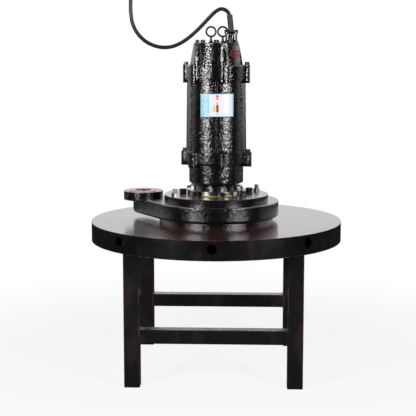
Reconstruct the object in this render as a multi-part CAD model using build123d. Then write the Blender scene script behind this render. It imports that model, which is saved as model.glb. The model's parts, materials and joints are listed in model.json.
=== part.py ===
from build123d import *
import os
from math import acos, atan2, cos, degrees, pi, radians, sin, sqrt, tan

# A submersible aerator: a motor on an air chamber, a round mixing disc and a welded stand.
# Lengths are millimetres. Z is up from the floor, and the motor shaft runs along the Z axis.
# Angles go round the shaft from the front (-Y) towards the right (+X), in degrees.

# Stand of square tube
LEG_SIDE = 60
TUBE_WALL = 4
TUBE_CORNER = 5
LEG_SPACING = 622
LEG_LENGTH = 524
BAR_BOTTOM = 171
BAR_SIDE = 54

# Mixing disc
DISC_RADIUS = 500
DISC_HEIGHT = 76
DISC_PLATE = 8
RIM_WALL = 8
OUTLET_COUNT = 8
OUTLET_RADIUS = 18.5
OUTLET_DEPTH = 32
CHANNEL_WIDTH = 44
VANE_THICKNESS = 6
VANE_START = 130
AIR_EYE_RADIUS = 74

# Suction cover and strainer under the disc
HATCH_RADIUS = 116
SUCTION_RADIUS = 58
SUCTION_FLANGE_RADIUS = 150
SUCTION_FLANGE_THICKNESS = 10
SUCTION_BOLT_CIRCLE = 133
SUCTION_BOLT_COUNT = 6
STRAINER_RADIUS = 96
STRAINER_FLANGE_RADIUS = 118
STRAINER_DEPTH = 42
STRAINER_WALL = 3
STRAINER_SLOTS = 18
STRAINER_SLOT_WIDTH = 12
STRAINER_SLOT_LOW = 9
STRAINER_SLOT_HEIGHT = 27
STRAINER_FLOOR_SLOT = 48
STRAINER_FLOOR_WIDTH = 6
STRAINER_FLOOR_CIRCLE = 57
STRAINER_SCREW_CIRCLE = 107

# Air chamber casting
CHAMBER_RADIUS = 250
CHAMBER_FOOT_INSET = 22
CHAMBER_FOOT_HEIGHT = 16
CHAMBER_HEIGHT = 80
CHAMBER_WALL = 10
CHAMBER_FLOOR = 12
CHAMBER_ROOF = 12
CHAMBER_MOUTH_RADIUS = 162
INLET_X = -301
INLET_Y = 83
INLET_BORE_RADIUS = 33
INLET_FLANGE_RADIUS = 80
INLET_FLANGE_RISE = 28
INLET_FLANGE_DROP = 10
INLET_FACE_RADIUS = 56
INLET_FACE_HEIGHT = 2
INLET_BOLT_CIRCLE = 65
INLET_BOLT_COUNT = 4
INLET_BOLT_RADIUS = 7
INLET_BOLT_START = 45
TAIL_END_RADIUS = 42
TAIL_LOWER_SLOPE = 9
TAIL_UPPER_SLOPE = 3
CHAMBER_LOWER_ROUND = 14
CHAMBER_UPPER_ROUND = 5

# Cover plate on the chamber, with the air guide hung below it
COVER_RADIUS = 208
COVER_THICKNESS = 25
COVER_BORE_RADIUS = 30
COVER_CHAMFER = 2
COVER_STUD_CIRCLE = 180
COVER_STUD_COUNT = 4
COVER_STUD_START = 26
GUIDE_BOLT_CIRCLE = 134
GUIDE_BOLT_COUNT = 8
GUIDE_BOLT_START = 9
GUIDE_RADIUS = 152
GUIDE_THICKNESS = 14
GUIDE_SLEEVE_RADIUS = 70
GUIDE_SLEEVE_WALL = 8
GUIDE_WINDOWS = 6
GUIDE_WINDOW_WIDTH = 40

# Spacer ring and adapter flange under the motor
SPACER_RADIUS = 108
SPACER_THICKNESS = 5
ADAPTER_RADIUS = 116
ADAPTER_THICKNESS = 15
ADAPTER_STUD_CIRCLE = 96
ADAPTER_STUD_COUNT = 4
ADAPTER_STUD_START = 77
ADAPTER_SPIGOT_RADIUS = 50
ADAPTER_SPIGOT_HEIGHT = 18
ADAPTER_SCREW_CIRCLE = 66
ADAPTER_SCREW_COUNT = 6
ADAPTER_SCREW_SINK = 7.5

# Oil chamber
NECK_RADIUS = 82
NECK_HEIGHT = 17
SHOULDER_HEIGHT = 12
OIL_RADIUS = 108
OIL_HEIGHT = 127
OIL_WALL = 12
OIL_FLANGE = 21
OIL_PLUG_ANGLE = 137

# Motor casing, lugs and top cover
FLANGE_RADIUS = 119
LUG_START = 17
LUG_COUNT = 6
LOWER_LUG_CIRCLE = 129.5
LOWER_LUG_REACH = 143
LOWER_LUG_WIDTH = 46
LOWER_LUG_DROP = 35
UPPER_LUG_CIRCLE = 125
UPPER_LUG_REACH = 136
UPPER_LUG_WIDTH = 40
UPPER_LUG_DROP = 38
LUG_ROUND = 16
LUG_STEP = 2
LUG_RECESS_RADIUS = 12
CASING_HEIGHT = 333
CASING_LOWER_FLANGE = 26
CASING_UPPER_FLANGE = 27
CASING_FOOT_RADIUS = 117
CASING_TOP_RADIUS = 113
CASING_BORE = 104
RIB_COUNT = 12
RIB_WIDTH = 8
RIB_RISE = 3
RIB_ROUND = 2
TOP_FLANGE = 32
TOP_HEIGHT = 107
TOP_FOOT_RADIUS = 105
TOP_NECK_RADIUS = 92
TOP_WALL = 12
SCALLOP_RADIUS = 33
WEB_LEVEL = 28
WEB_THICKNESS = 12
TOP_INNER_RADIUS = 80
LEAD_HOLE_RADIUS = 8
LEAD_HOLE_ANGLE = 180
TERMINAL_LENGTH = 66
TERMINAL_WIDTH = 28
TERMINAL_HEIGHT = 22
TERMINAL_PITCH = 20
TERMINAL_POST = 3

# Lid, lifting eyes and cable entry
LID_RADIUS = 90
LID_THICKNESS = 12
LID_BOLT_CIRCLE = 75
LID_BOLT_COUNT = 8
LID_BOLT_START = 4
EYE_LEFT = -21
EYE_RIGHT = 25
EYE_RADIUS = 18.7
EYE_WIRE = 3.7
EYE_LIFT = 43.5
EYE_COLLAR = 10
EYE_SHANK = 5.5
GLAND_X = 59
GLAND_Y = -22
GLAND_LENGTH = 54
GLAND_WIDTH = 26
GLAND_BASE = 8
GLAND_TUBE = 23
GLAND_RADIUS = 13
GLAND_BORE = 9.5
GLAND_STUD_REACH = 19.5
FOLLOWER_THICKNESS = 9
GLAND_GAP = 4
BOOT_COLLAR_RADIUS = 10.5
BOOT_FOOT_RADIUS = 11.5
BOOT_FOOT_TRIM = 3
BOOT_TOP_RADIUS = 11
BOOT_LAP = 0.85

# Plates stuck or riveted on the outside
PLATE_THICKNESS = 1
PLATE_GLUE = 0.3
RATING_LOW = 168
RATING_HEIGHT = 89
RATING_START = -29
RATING_ARC = 65
RATING_PAD_RADIUS = 118
RATING_MARGIN = 4
RATING_SIDE = 1
ARROW_TOP = 42
ARROW_HEIGHT = 27
ARROW_START = 37
ARROW_ARC = 30

# Motor, shaft and bearings
STATOR_BORE = 60
CORE_LOW = 88
CORE_LENGTH = 150
WINDING_LENGTH = 34
WINDING_OUTER = 98
WINDING_INNER = 64
WINDING_ROUND = 8
AIR_GAP = 0.6
END_RING_RADIUS = 55
END_RING_LENGTH = 12
SHAFT_TOP_RADIUS = 20
SHAFT_SEAT_RADIUS = 25
SHAFT_CORE_RADIUS = 28
SHAFT_SEAL_RADIUS = 24
SHAFT_LOWER_RADIUS = 22.5
SHAFT_IMPELLER_RADIUS = 20
SHAFT_THREAD_RADIUS = 12
SHAFT_STEP = 4
SHAFT_SHOULDER = 6
CORE_SHOULDER = 12
LOWER_PITCH = 40
LOWER_BALL = 9.5
LOWER_OUTER = 55
LOWER_WIDTH = 27
UPPER_PITCH = 32.5
UPPER_BALL = 7.5
UPPER_OUTER = 45
UPPER_WIDTH = 23
BALL_COUNT = 8
RACE_LIP = 0.53
CAGE_SHARE = 0.26
BRACKET_SPIGOT = 14
BRACKET_RADIUS = 98
BRACKET_HUB_RADIUS = 67
BRACKET_SEAL_RADIUS = 44
BRACKET_SEAL_DROP = 16
BEARING_CAP_THICKNESS = 6
BEARING_CAP_BORE = 43
BEARING_LIFT = 4
BEARING_RELIEF = 2
UPPER_BEARING_GAP = 1
SHAFT_SPACE = 2

# Shaft seals
SEAL_SEAT_RADIUS = 36
SEAL_SEAT_THICKNESS = 9
SEAL_RING_RADIUS = 34
SEAL_RING_THICKNESS = 12
SPRING_WIRE = 2
SPRING_RADIUS = 30
SPRING_TURNS = 4
SEAL_CORD = 1.8
SEAL_SPACE = 1

# Impeller
IMPELLER_RADIUS = 104
IMPELLER_BLADES = 8
IMPELLER_DISC = 8
IMPELLER_HUB_RADIUS = 33
IMPELLER_LOW = 8
IMPELLER_HEIGHT = 48
BLADE_THICKNESS = 6
BLADE_LEAN = 32
IMPELLER_NUT = 36
IMPELLER_NUT_HEIGHT = 18
IMPELLER_WASHER = 4
IMPELLER_WASHER_RADIUS = 29
KEY_WIDTH = 10
KEY_HEIGHT = 8
KEY_LENGTH = 36

# Fasteners, each named by what it holds
SUCTION_BOLT_RADIUS = 5
SUCTION_BOLT_HEAD = 16
SUCTION_BOLT_HEIGHT = 7
STRAINER_SCREW_RADIUS = 3
STRAINER_SCREW_HEAD = 10
STRAINER_SCREW_HEIGHT = 4
STRAINER_SCREW_COUNT = 6
FOOT_BOLT_RADIUS = 6
FOOT_BOLT_COUNT = 8
FOOT_BOLT_INSET = 28
FOOT_BOLT_START = 22.5
FOOT_BOLT_GRIP = 10
FOOT_BOLT_HEAD = 19
FOOT_BOLT_HEIGHT = 8
COVER_STUD_RADIUS = 8
COVER_NUT = 24
COVER_NUT_HEIGHT = 13
COVER_STUD_RISE = 28
GUIDE_BOLT_RADIUS = 8
GUIDE_BOLT_HEAD = 24
GUIDE_BOLT_HEIGHT = 18
GUIDE_BOLT_WASHER = 4
ADAPTER_STUD_RADIUS = 8
ADAPTER_STUD_RISE = 19
ADAPTER_STUD_GRIP = 16
ADAPTER_SCREW_RADIUS = 4
ADAPTER_SCREW_GRIP = 12
LOWER_BOLT_RADIUS = 6
LOWER_BOLT_HEAD = 18
LOWER_BOLT_GRIP = 27
UPPER_BOLT_RADIUS = 5
UPPER_BOLT_HEAD = 16
UPPER_BOLT_GRIP = 28
THREAD_SPACE = 4
FLANGE_BOLT_HEIGHT = 8
FLANGE_BOLT_WASHER = 3
LID_BOLT_RADIUS = 5
LID_BOLT_GRIP = 16
GLAND_STUD_RADIUS = 4
GLAND_NUT = 13
GLAND_NUT_HEIGHT = 6.4
PLUG_RADIUS = 8
PLUG_BOSS_RADIUS = 15
PLUG_BOSS_RISE = 3
PLUG_HEAD = 19
PLUG_HEIGHT = 9
PLUG_WASHER = 2
CAP_SCREW_RADIUS = 3
CAP_SCREW_COUNT = 4
CAP_SCREW_GRIP = 12
LID_WASHER = 2
LID_BOSS_RADIUS = 9
WASHER_SHARE = 0.58
CAP_HEAD_SHARE = 1.6
SCREW_WASHER_SHARE = 1.7

# Roundings of machined edges, plates, castings and hollows
EDGE_ROUND = 1
PLATE_ROUND = 2
CAST_ROUND = 4
HOLLOW_ROUND = 8

# Clearances: between fixed pieces, running parts, and a bolt in its hole
FIT = 0.05
RUNNING = 0.15
BOLT_PLAY = 0.5

# Bolt circle of the chamber's foot
FOOT_BOLT_CIRCLE = CHAMBER_RADIUS - CHAMBER_FOOT_INSET - FOOT_BOLT_INSET

# Levels up the shaft, each worked out from the one below
DISC_BOTTOM = LEG_LENGTH
DISC_FLOOR = DISC_BOTTOM + DISC_PLATE
DISC_TOP = DISC_BOTTOM + DISC_HEIGHT
DISC_ROOF = DISC_TOP - DISC_PLATE
OUTLET_LEVEL = DISC_TOP - OUTLET_DEPTH
CHAMBER_TOP = DISC_TOP + CHAMBER_HEIGHT
COVER_TOP = CHAMBER_TOP + COVER_THICKNESS
SPACER_TOP = COVER_TOP + SPACER_THICKNESS
NECK_BOTTOM = SPACER_TOP + ADAPTER_THICKNESS
NECK_TOP = NECK_BOTTOM + NECK_HEIGHT
LOWER_SEAM = NECK_BOTTOM + OIL_HEIGHT
UPPER_SEAM = LOWER_SEAM + CASING_HEIGHT
TOP_LEVEL = UPPER_SEAM + TOP_HEIGHT
LID_TOP = TOP_LEVEL + LID_THICKNESS
INLET_TOP = CHAMBER_TOP + INLET_FLANGE_RISE
CORE_BOTTOM = LOWER_SEAM + CORE_LOW
CORE_TOP = CORE_BOTTOM + CORE_LENGTH
BEARING_LOW = LOWER_SEAM + BEARING_LIFT
UPPER_BEARING_LOW = UPPER_SEAM + WEB_LEVEL - UPPER_WIDTH - UPPER_BEARING_GAP
IMPELLER_BOTTOM = DISC_FLOOR + IMPELLER_LOW

# Cable: its section, its points in the air and the hanger at its far end.
# The third number of a point is its height above the lid.
CABLE_RADIUS = 7.5
CABLE_POINTS = [
    (55, -20, 90), (52, -20, 111), (39.5, -19, 126.5), (18, -17, 133),
    (-4, -15, 121.5), (-28, -12, 97.5), (-66, -9, 57), (-113, -6, 15),
    (-160, -4, -12), (-201, -2, -19.5), (-241, -1, -14), (-281, 0, 4.5),
    (-313.5, 0, 37), (-332.5, 0, 76), (-337.5, 0, 116), (-338, 0, 154),
    (-336.5, 0, 188), (-334.5, 0, 220),
]
CABLE_ROUTE = [(x, y, LID_TOP + rise) for x, y, rise in CABLE_POINTS]
ARC_SHARE = 0.45
HANGER_RADIUS = 11
HANGER_GRIP = 30
HANGER_CAP = 8
HANGER_EYE_RADIUS = 11
HANGER_EYE_WIRE = 3.5

UP = (Align.CENTER, Align.CENTER, Align.MIN)
DOWN = (Align.CENTER, Align.CENTER, Align.MAX)
OUTWARD = (Align.MIN, Align.CENTER, Align.MIN)
INWARD = (Align.MAX, Align.CENTER, Align.MIN)


def save(name, *solids):
    """Write one node, of one or more solids."""
    shape = solids[0] if len(solids) == 1 else Compound(children=list(solids))
    export_step(shape, os.path.join("parts", name + ".step"))


def rod(radius, low, high):
    """A round bar round the Z axis between two levels."""
    return Pos(0, 0, low) * Cylinder(radius, high - low, align=UP)


def hoop(outer, inner, low, high):
    """A flat-ended tube round the Z axis between two levels."""
    return rod(outer, low, high) - rod(inner, low, high)


def spoke(angle, reach=0, level=0):
    """A place whose X axis points outwards at the given angle."""
    return Rot(0, 0, angle - 90) * Pos(reach, 0, level)


def around(count, start=0):
    """Evenly spaced angles round the shaft."""
    return [start + step * 360 / count for step in range(count)]


def ring_of(shape, count, start, reach):
    """Copies of a shape on a circle round the shaft."""
    return [spoke(angle, reach) * shape for angle in around(count, start)]


def turned(*corners, arc=360):
    """A turned shape from its (radius, level) or (radius, level, rounding) corners."""
    points = [(corner[0], 0, corner[1]) for corner in corners]
    rounds = [corner[2] if len(corner) > 2 else 0 for corner in corners]
    return revolve(make_face(FilletPolyline(*points, radius=rounds, close=True)), Axis.Z, arc)


def drill(shape, radius, low, high, count, start, reach):
    """The shape with round holes on a circle round the shaft."""
    return shape - ring_of(rod(radius, low, high), count, start, reach)


def hexagon(across, low, high):
    """A hexagonal bar with its upper corners turned off."""
    corner = across / sqrt(3)
    bar = Pos(0, 0, low) * extrude(RegularPolygon(corner, 6), high - low)
    slope = corner - across / 2
    cone = turned((0, low), (corner, low), (corner, high - slope), (across / 2, high), (0, high))
    return bar & cone


def nut(radius, across, low, height):
    """A hexagon nut with a clear bore."""
    return hexagon(across, low, low + height) - rod(radius + FIT, low, low + height)


def bolt(radius, across, seat, head, length, washer=0):
    """A hexagon bolt that hangs from its seat, with a washer under its head."""
    top = seat + washer
    body = rod(radius, seat - length, top) + hexagon(across, top, top + head)
    if washer:
        body += rod(across * WASHER_SHARE, seat, top)
    return body


def cap_screw(radius, seat, length):
    """A socket cap screw with its hexagon socket."""
    head = rod(radius * CAP_HEAD_SHARE, seat, seat + 2 * radius)
    head = fillet(head.edges().group_by(Axis.Z)[-1], EDGE_ROUND)
    socket = Pos(0, 0, seat + radius) * extrude(RegularPolygon(radius, 6), 2 * radius)
    return rod(radius, seat - length, seat) + head - socket


def square_tube(side, length):
    """A square hollow section along Z."""
    outer = RectangleRounded(side, side, TUBE_CORNER)
    inner = RectangleRounded(side - 2 * TUBE_WALL, side - 2 * TUBE_WALL, TUBE_CORNER - TUBE_WALL)
    return extrude(outer - inner, length)


def make_stand():
    """Four legs and two crossbars."""
    half = LEG_SPACING / 2
    leg = square_tube(LEG_SIDE, LEG_LENGTH)
    save("stand_legs", *[Pos(x, y, 0) * leg for x in (-half, half) for y in (-half, half)])
    span = LEG_SPACING - LEG_SIDE
    bar = Rot(0, 90, 0) * square_tube(BAR_SIDE, span)
    bar = Pos(-span / 2, 0, BAR_BOTTOM + BAR_SIDE / 2) * bar
    save("stand_crossbars", *[Pos(0, y, 0) * bar for y in (-half, half)])


def make_disc():
    """The welded mixing disc: two plates, a rim with its outlets and the channel vanes."""
    inside = DISC_RADIUS - RIM_WALL
    floor = hoop(DISC_RADIUS, HATCH_RADIUS, DISC_BOTTOM, DISC_FLOOR)
    hole = SUCTION_BOLT_RADIUS + FIT
    save("disc_bottom_plate", drill(floor, hole, DISC_BOTTOM, DISC_FLOOR,
                                    SUCTION_BOLT_COUNT, 0, SUCTION_BOLT_CIRCLE))
    roof = hoop(DISC_RADIUS, AIR_EYE_RADIUS, DISC_ROOF, DISC_TOP)
    roof = drill(roof, FOOT_BOLT_RADIUS + FIT, DISC_ROOF, DISC_TOP,
                 FOOT_BOLT_COUNT, FOOT_BOLT_START, FOOT_BOLT_CIRCLE)
    save("disc_top_plate", roof)
    rim = hoop(DISC_RADIUS, inside, DISC_FLOOR, DISC_ROOF)
    outlet = Rot(0, 90, 0) * Cylinder(OUTLET_RADIUS, 2 * RIM_WALL)
    middle = (DISC_RADIUS + inside) / 2
    rim -= [spoke(angle, middle, OUTLET_LEVEL) * outlet for angle in around(OUTLET_COUNT)]
    save("disc_rim", rim)
    blade = Box(inside - VANE_START, VANE_THICKNESS, DISC_ROOF - DISC_FLOOR, align=OUTWARD)
    offset = (CHANNEL_WIDTH + VANE_THICKNESS) / 2
    tray = rod(inside, DISC_FLOOR, DISC_ROOF)
    vanes = []
    for angle in around(OUTLET_COUNT):
        for side in (-offset, offset):
            vanes.append((spoke(angle, VANE_START, DISC_FLOOR) * Pos(0, side, 0) * blade) & tray)
    save("diffuser_vanes", *vanes)


def make_suction():
    """The suction cover that closes the disc below the impeller, and its slotted strainer."""
    seat = DISC_BOTTOM - SUCTION_FLANGE_THICKNESS
    cover = turned((SUCTION_RADIUS, seat, CAST_ROUND), (SUCTION_FLANGE_RADIUS, seat, PLATE_ROUND),
                   (SUCTION_FLANGE_RADIUS, DISC_BOTTOM), (HATCH_RADIUS - FIT, DISC_BOTTOM),
                   (HATCH_RADIUS - FIT, DISC_FLOOR), (SUCTION_RADIUS, DISC_FLOOR))
    cover = drill(cover, SUCTION_BOLT_RADIUS + BOLT_PLAY, seat, DISC_BOTTOM,
                  SUCTION_BOLT_COUNT, 0, SUCTION_BOLT_CIRCLE)
    screw_hole = STRAINER_SCREW_RADIUS + FIT
    cover = drill(cover, screw_hole, seat, DISC_BOTTOM, STRAINER_SCREW_COUNT, 0, STRAINER_SCREW_CIRCLE)
    save("suction_cover", cover)
    flip = Rot(180, 0, 0)
    held = bolt(SUCTION_BOLT_RADIUS, SUCTION_BOLT_HEAD, 0, SUCTION_BOLT_HEIGHT,
                SUCTION_FLANGE_THICKNESS + DISC_PLATE)
    held = ring_of(Pos(0, 0, seat) * (flip * held), SUCTION_BOLT_COUNT, 0, SUCTION_BOLT_CIRCLE)

    low = seat - STRAINER_DEPTH
    basket = turned((0, low), (STRAINER_RADIUS, low, CAST_ROUND),
                    (STRAINER_RADIUS, seat - STRAINER_WALL, EDGE_ROUND),
                    (STRAINER_FLANGE_RADIUS, seat - STRAINER_WALL), (STRAINER_FLANGE_RADIUS, seat),
                    (STRAINER_RADIUS - STRAINER_WALL, seat),
                    (STRAINER_RADIUS - STRAINER_WALL, low + STRAINER_WALL, EDGE_ROUND),
                    (0, low + STRAINER_WALL))
    slot = Box(2 * STRAINER_SLOT_WIDTH, STRAINER_SLOT_WIDTH, STRAINER_SLOT_HEIGHT, align=UP)
    slot = Pos(0, 0, low + STRAINER_SLOT_LOW) * slot
    basket -= ring_of(slot, STRAINER_SLOTS, 0, STRAINER_RADIUS)
    floor_slot = extrude(SlotOverall(STRAINER_FLOOR_SLOT, STRAINER_FLOOR_WIDTH), STRAINER_WALL)
    basket -= ring_of(Pos(0, 0, low) * floor_slot, STRAINER_SLOTS, 0, STRAINER_FLOOR_CIRCLE)
    basket = drill(basket, STRAINER_SCREW_RADIUS + BOLT_PLAY, seat - STRAINER_WALL, seat,
                   STRAINER_SCREW_COUNT, 0, STRAINER_SCREW_CIRCLE)
    save("suction_strainer", basket)
    screw = bolt(STRAINER_SCREW_RADIUS, STRAINER_SCREW_HEAD, 0, STRAINER_SCREW_HEIGHT,
                 STRAINER_WALL + SUCTION_FLANGE_THICKNESS)
    screw = Pos(0, 0, seat - STRAINER_WALL) * (flip * screw)
    save("suction_fasteners", *held, *ring_of(screw, STRAINER_SCREW_COUNT, 0, STRAINER_SCREW_CIRCLE))


def tail_plan(shrink):
    """The chamber's tail seen from above: it leaves the round body in a straight line and ends round."""
    body = CHAMBER_RADIUS - shrink
    end = TAIL_END_RADIUS - shrink
    centre = Vector(INLET_X, INLET_Y)
    normal = atan2(INLET_Y, INLET_X) + acos((body - end) / centre.length)
    out = Vector(cos(normal), sin(normal))
    along = Vector(-out.Y, out.X)
    inner = centre - out * end
    root = inner + along * (centre.length / 2)
    far = centre - along * end
    line = Polyline(*[(point.X, point.Y) for point in (inner, root, out * body, centre + out * end)])
    return make_face([*line.edges(), ThreePointArc(line @ 1, (far.X, far.Y), line @ 0)])


def tail(shrink, low, high):
    """The tail as a straight wall between two levels."""
    return Pos(0, 0, low) * extrude(tail_plan(shrink), high - low)


def tail_slope(low_shrink, low, high_shrink, high):
    """The sloping edge of the tail between two levels."""
    foot = Pos(0, 0, low) * tail_plan(low_shrink)
    head = Pos(0, 0, high) * tail_plan(high_shrink)
    return loft([foot, head], ruled=True)


def make_air_chamber():
    """The round casting with its tail, inlet flange and hollow air way."""
    foot_top = DISC_TOP + CHAMBER_FOOT_HEIGHT
    foot = CHAMBER_RADIUS - CHAMBER_FOOT_INSET
    casting = turned((0, DISC_TOP), (foot, DISC_TOP), (foot, foot_top),
                     (CHAMBER_RADIUS, foot_top, CHAMBER_LOWER_ROUND),
                     (CHAMBER_RADIUS, CHAMBER_TOP, CHAMBER_UPPER_ROUND), (0, CHAMBER_TOP))
    lower_edge = foot_top + TAIL_LOWER_SLOPE
    upper_edge = CHAMBER_TOP - TAIL_UPPER_SLOPE
    casting += tail_slope(TAIL_LOWER_SLOPE, foot_top, 0, lower_edge)
    casting += tail(0, lower_edge, upper_edge)
    casting += tail_slope(0, upper_edge, TAIL_UPPER_SLOPE, CHAMBER_TOP)
    inside_low = foot_top + CHAMBER_FLOOR
    inside_top = CHAMBER_TOP - CHAMBER_ROOF
    hollow = turned((0, DISC_TOP + CHAMBER_FLOOR),
                    (foot - CHAMBER_WALL, DISC_TOP + CHAMBER_FLOOR, HOLLOW_ROUND),
                    (CHAMBER_RADIUS - CHAMBER_WALL, inside_low, HOLLOW_ROUND),
                    (CHAMBER_RADIUS - CHAMBER_WALL, inside_top), (0, inside_top))
    casting -= hollow
    casting -= tail(CHAMBER_WALL, inside_low, inside_top)
    casting -= rod(CHAMBER_MOUTH_RADIUS, inside_top, CHAMBER_TOP)
    casting -= rod(AIR_EYE_RADIUS, DISC_TOP, inside_low)
    flange_low = CHAMBER_TOP - INLET_FLANGE_DROP
    flange = turned((0, flange_low), (INLET_FLANGE_RADIUS, flange_low, PLATE_ROUND),
                    (INLET_FLANGE_RADIUS, INLET_TOP - INLET_FACE_HEIGHT, PLATE_ROUND),
                    (INLET_FACE_RADIUS, INLET_TOP - INLET_FACE_HEIGHT), (INLET_FACE_RADIUS, INLET_TOP),
                    (0, INLET_TOP))
    at_inlet = Pos(INLET_X, INLET_Y, 0)
    casting += at_inlet * flange
    casting -= at_inlet * rod(INLET_BORE_RADIUS, inside_low, INLET_TOP)
    hole = rod(INLET_BOLT_RADIUS, flange_low, INLET_TOP)
    holes = ring_of(hole, INLET_BOLT_COUNT, INLET_BOLT_START, INLET_BOLT_CIRCLE)
    casting -= [at_inlet * copy for copy in holes]
    boss = rod(2 * COVER_STUD_RADIUS, inside_low, inside_top)
    casting += ring_of(boss, COVER_STUD_COUNT, COVER_STUD_START, COVER_STUD_CIRCLE)
    casting = drill(casting, COVER_STUD_RADIUS + FIT, inside_low + CHAMBER_WALL, CHAMBER_TOP,
                    COVER_STUD_COUNT, COVER_STUD_START, COVER_STUD_CIRCLE)
    casting = drill(casting, FOOT_BOLT_RADIUS + FIT, DISC_TOP, DISC_TOP + FOOT_BOLT_GRIP,
                    FOOT_BOLT_COUNT, FOOT_BOLT_START, FOOT_BOLT_CIRCLE)
    save("air_chamber", casting)


def make_cover():
    """The cover plate, its studs and nuts, and the air guide bolted below it."""
    plate = hoop(COVER_RADIUS, COVER_BORE_RADIUS, CHAMBER_TOP, COVER_TOP)
    rim = plate.edges().group_by(Axis.Z)[-1].group_by(SortBy.LENGTH)[-1]
    plate = chamfer(rim, COVER_CHAMFER)
    plate = drill(plate, COVER_STUD_RADIUS + FIT, CHAMBER_TOP, COVER_TOP,
                  COVER_STUD_COUNT, COVER_STUD_START, COVER_STUD_CIRCLE)
    plate = drill(plate, GUIDE_BOLT_RADIUS + FIT, CHAMBER_TOP, COVER_TOP,
                  GUIDE_BOLT_COUNT, GUIDE_BOLT_START, GUIDE_BOLT_CIRCLE)
    plate = drill(plate, ADAPTER_STUD_RADIUS + FIT, COVER_TOP - ADAPTER_STUD_GRIP, COVER_TOP,
                  ADAPTER_STUD_COUNT, ADAPTER_STUD_START, ADAPTER_STUD_CIRCLE)
    save("cover_plate", plate)

    stud_low = CHAMBER_TOP - CHAMBER_ROOF - CHAMBER_WALL
    stud = rod(COVER_STUD_RADIUS, stud_low, COVER_TOP + COVER_STUD_RISE)
    held = nut(COVER_STUD_RADIUS, COVER_NUT, COVER_TOP, COVER_NUT_HEIGHT)
    studs = ring_of(stud, COVER_STUD_COUNT, COVER_STUD_START, COVER_STUD_CIRCLE)
    nuts = ring_of(held, COVER_STUD_COUNT, COVER_STUD_START, COVER_STUD_CIRCLE)
    save("cover_studs_and_nuts", *studs, *nuts)

    low = CHAMBER_TOP - GUIDE_THICKNESS
    guide = hoop(GUIDE_RADIUS, GUIDE_SLEEVE_RADIUS - GUIDE_SLEEVE_WALL, low, CHAMBER_TOP)
    guide += hoop(GUIDE_SLEEVE_RADIUS, GUIDE_SLEEVE_RADIUS - GUIDE_SLEEVE_WALL, DISC_ROOF, low)
    window = Box(2 * GUIDE_SLEEVE_WALL, GUIDE_WINDOW_WIDTH,
                 low - DISC_TOP - 2 * CHAMBER_FLOOR, align=UP)
    window = Pos(0, 0, DISC_TOP + CHAMBER_FLOOR + GUIDE_SLEEVE_WALL) * window
    guide -= ring_of(window, GUIDE_WINDOWS, 0, GUIDE_SLEEVE_RADIUS)
    guide = drill(guide, GUIDE_BOLT_RADIUS + FIT, low, CHAMBER_TOP,
                  GUIDE_BOLT_COUNT, GUIDE_BOLT_START, GUIDE_BOLT_CIRCLE)
    save("air_guide", guide)
    held = bolt(GUIDE_BOLT_RADIUS, GUIDE_BOLT_HEAD, COVER_TOP, GUIDE_BOLT_HEIGHT,
                COVER_THICKNESS + GUIDE_THICKNESS, GUIDE_BOLT_WASHER)
    save("guide_bolts", *ring_of(held, GUIDE_BOLT_COUNT, GUIDE_BOLT_START, GUIDE_BOLT_CIRCLE))

    foot = bolt(FOOT_BOLT_RADIUS, FOOT_BOLT_HEAD, 0, FOOT_BOLT_HEIGHT, DISC_PLATE + FOOT_BOLT_GRIP)
    foot = Pos(0, 0, DISC_ROOF) * (Rot(180, 0, 0) * foot)
    save("chamber_bolts", *ring_of(foot, FOOT_BOLT_COUNT, FOOT_BOLT_START, FOOT_BOLT_CIRCLE))


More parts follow.
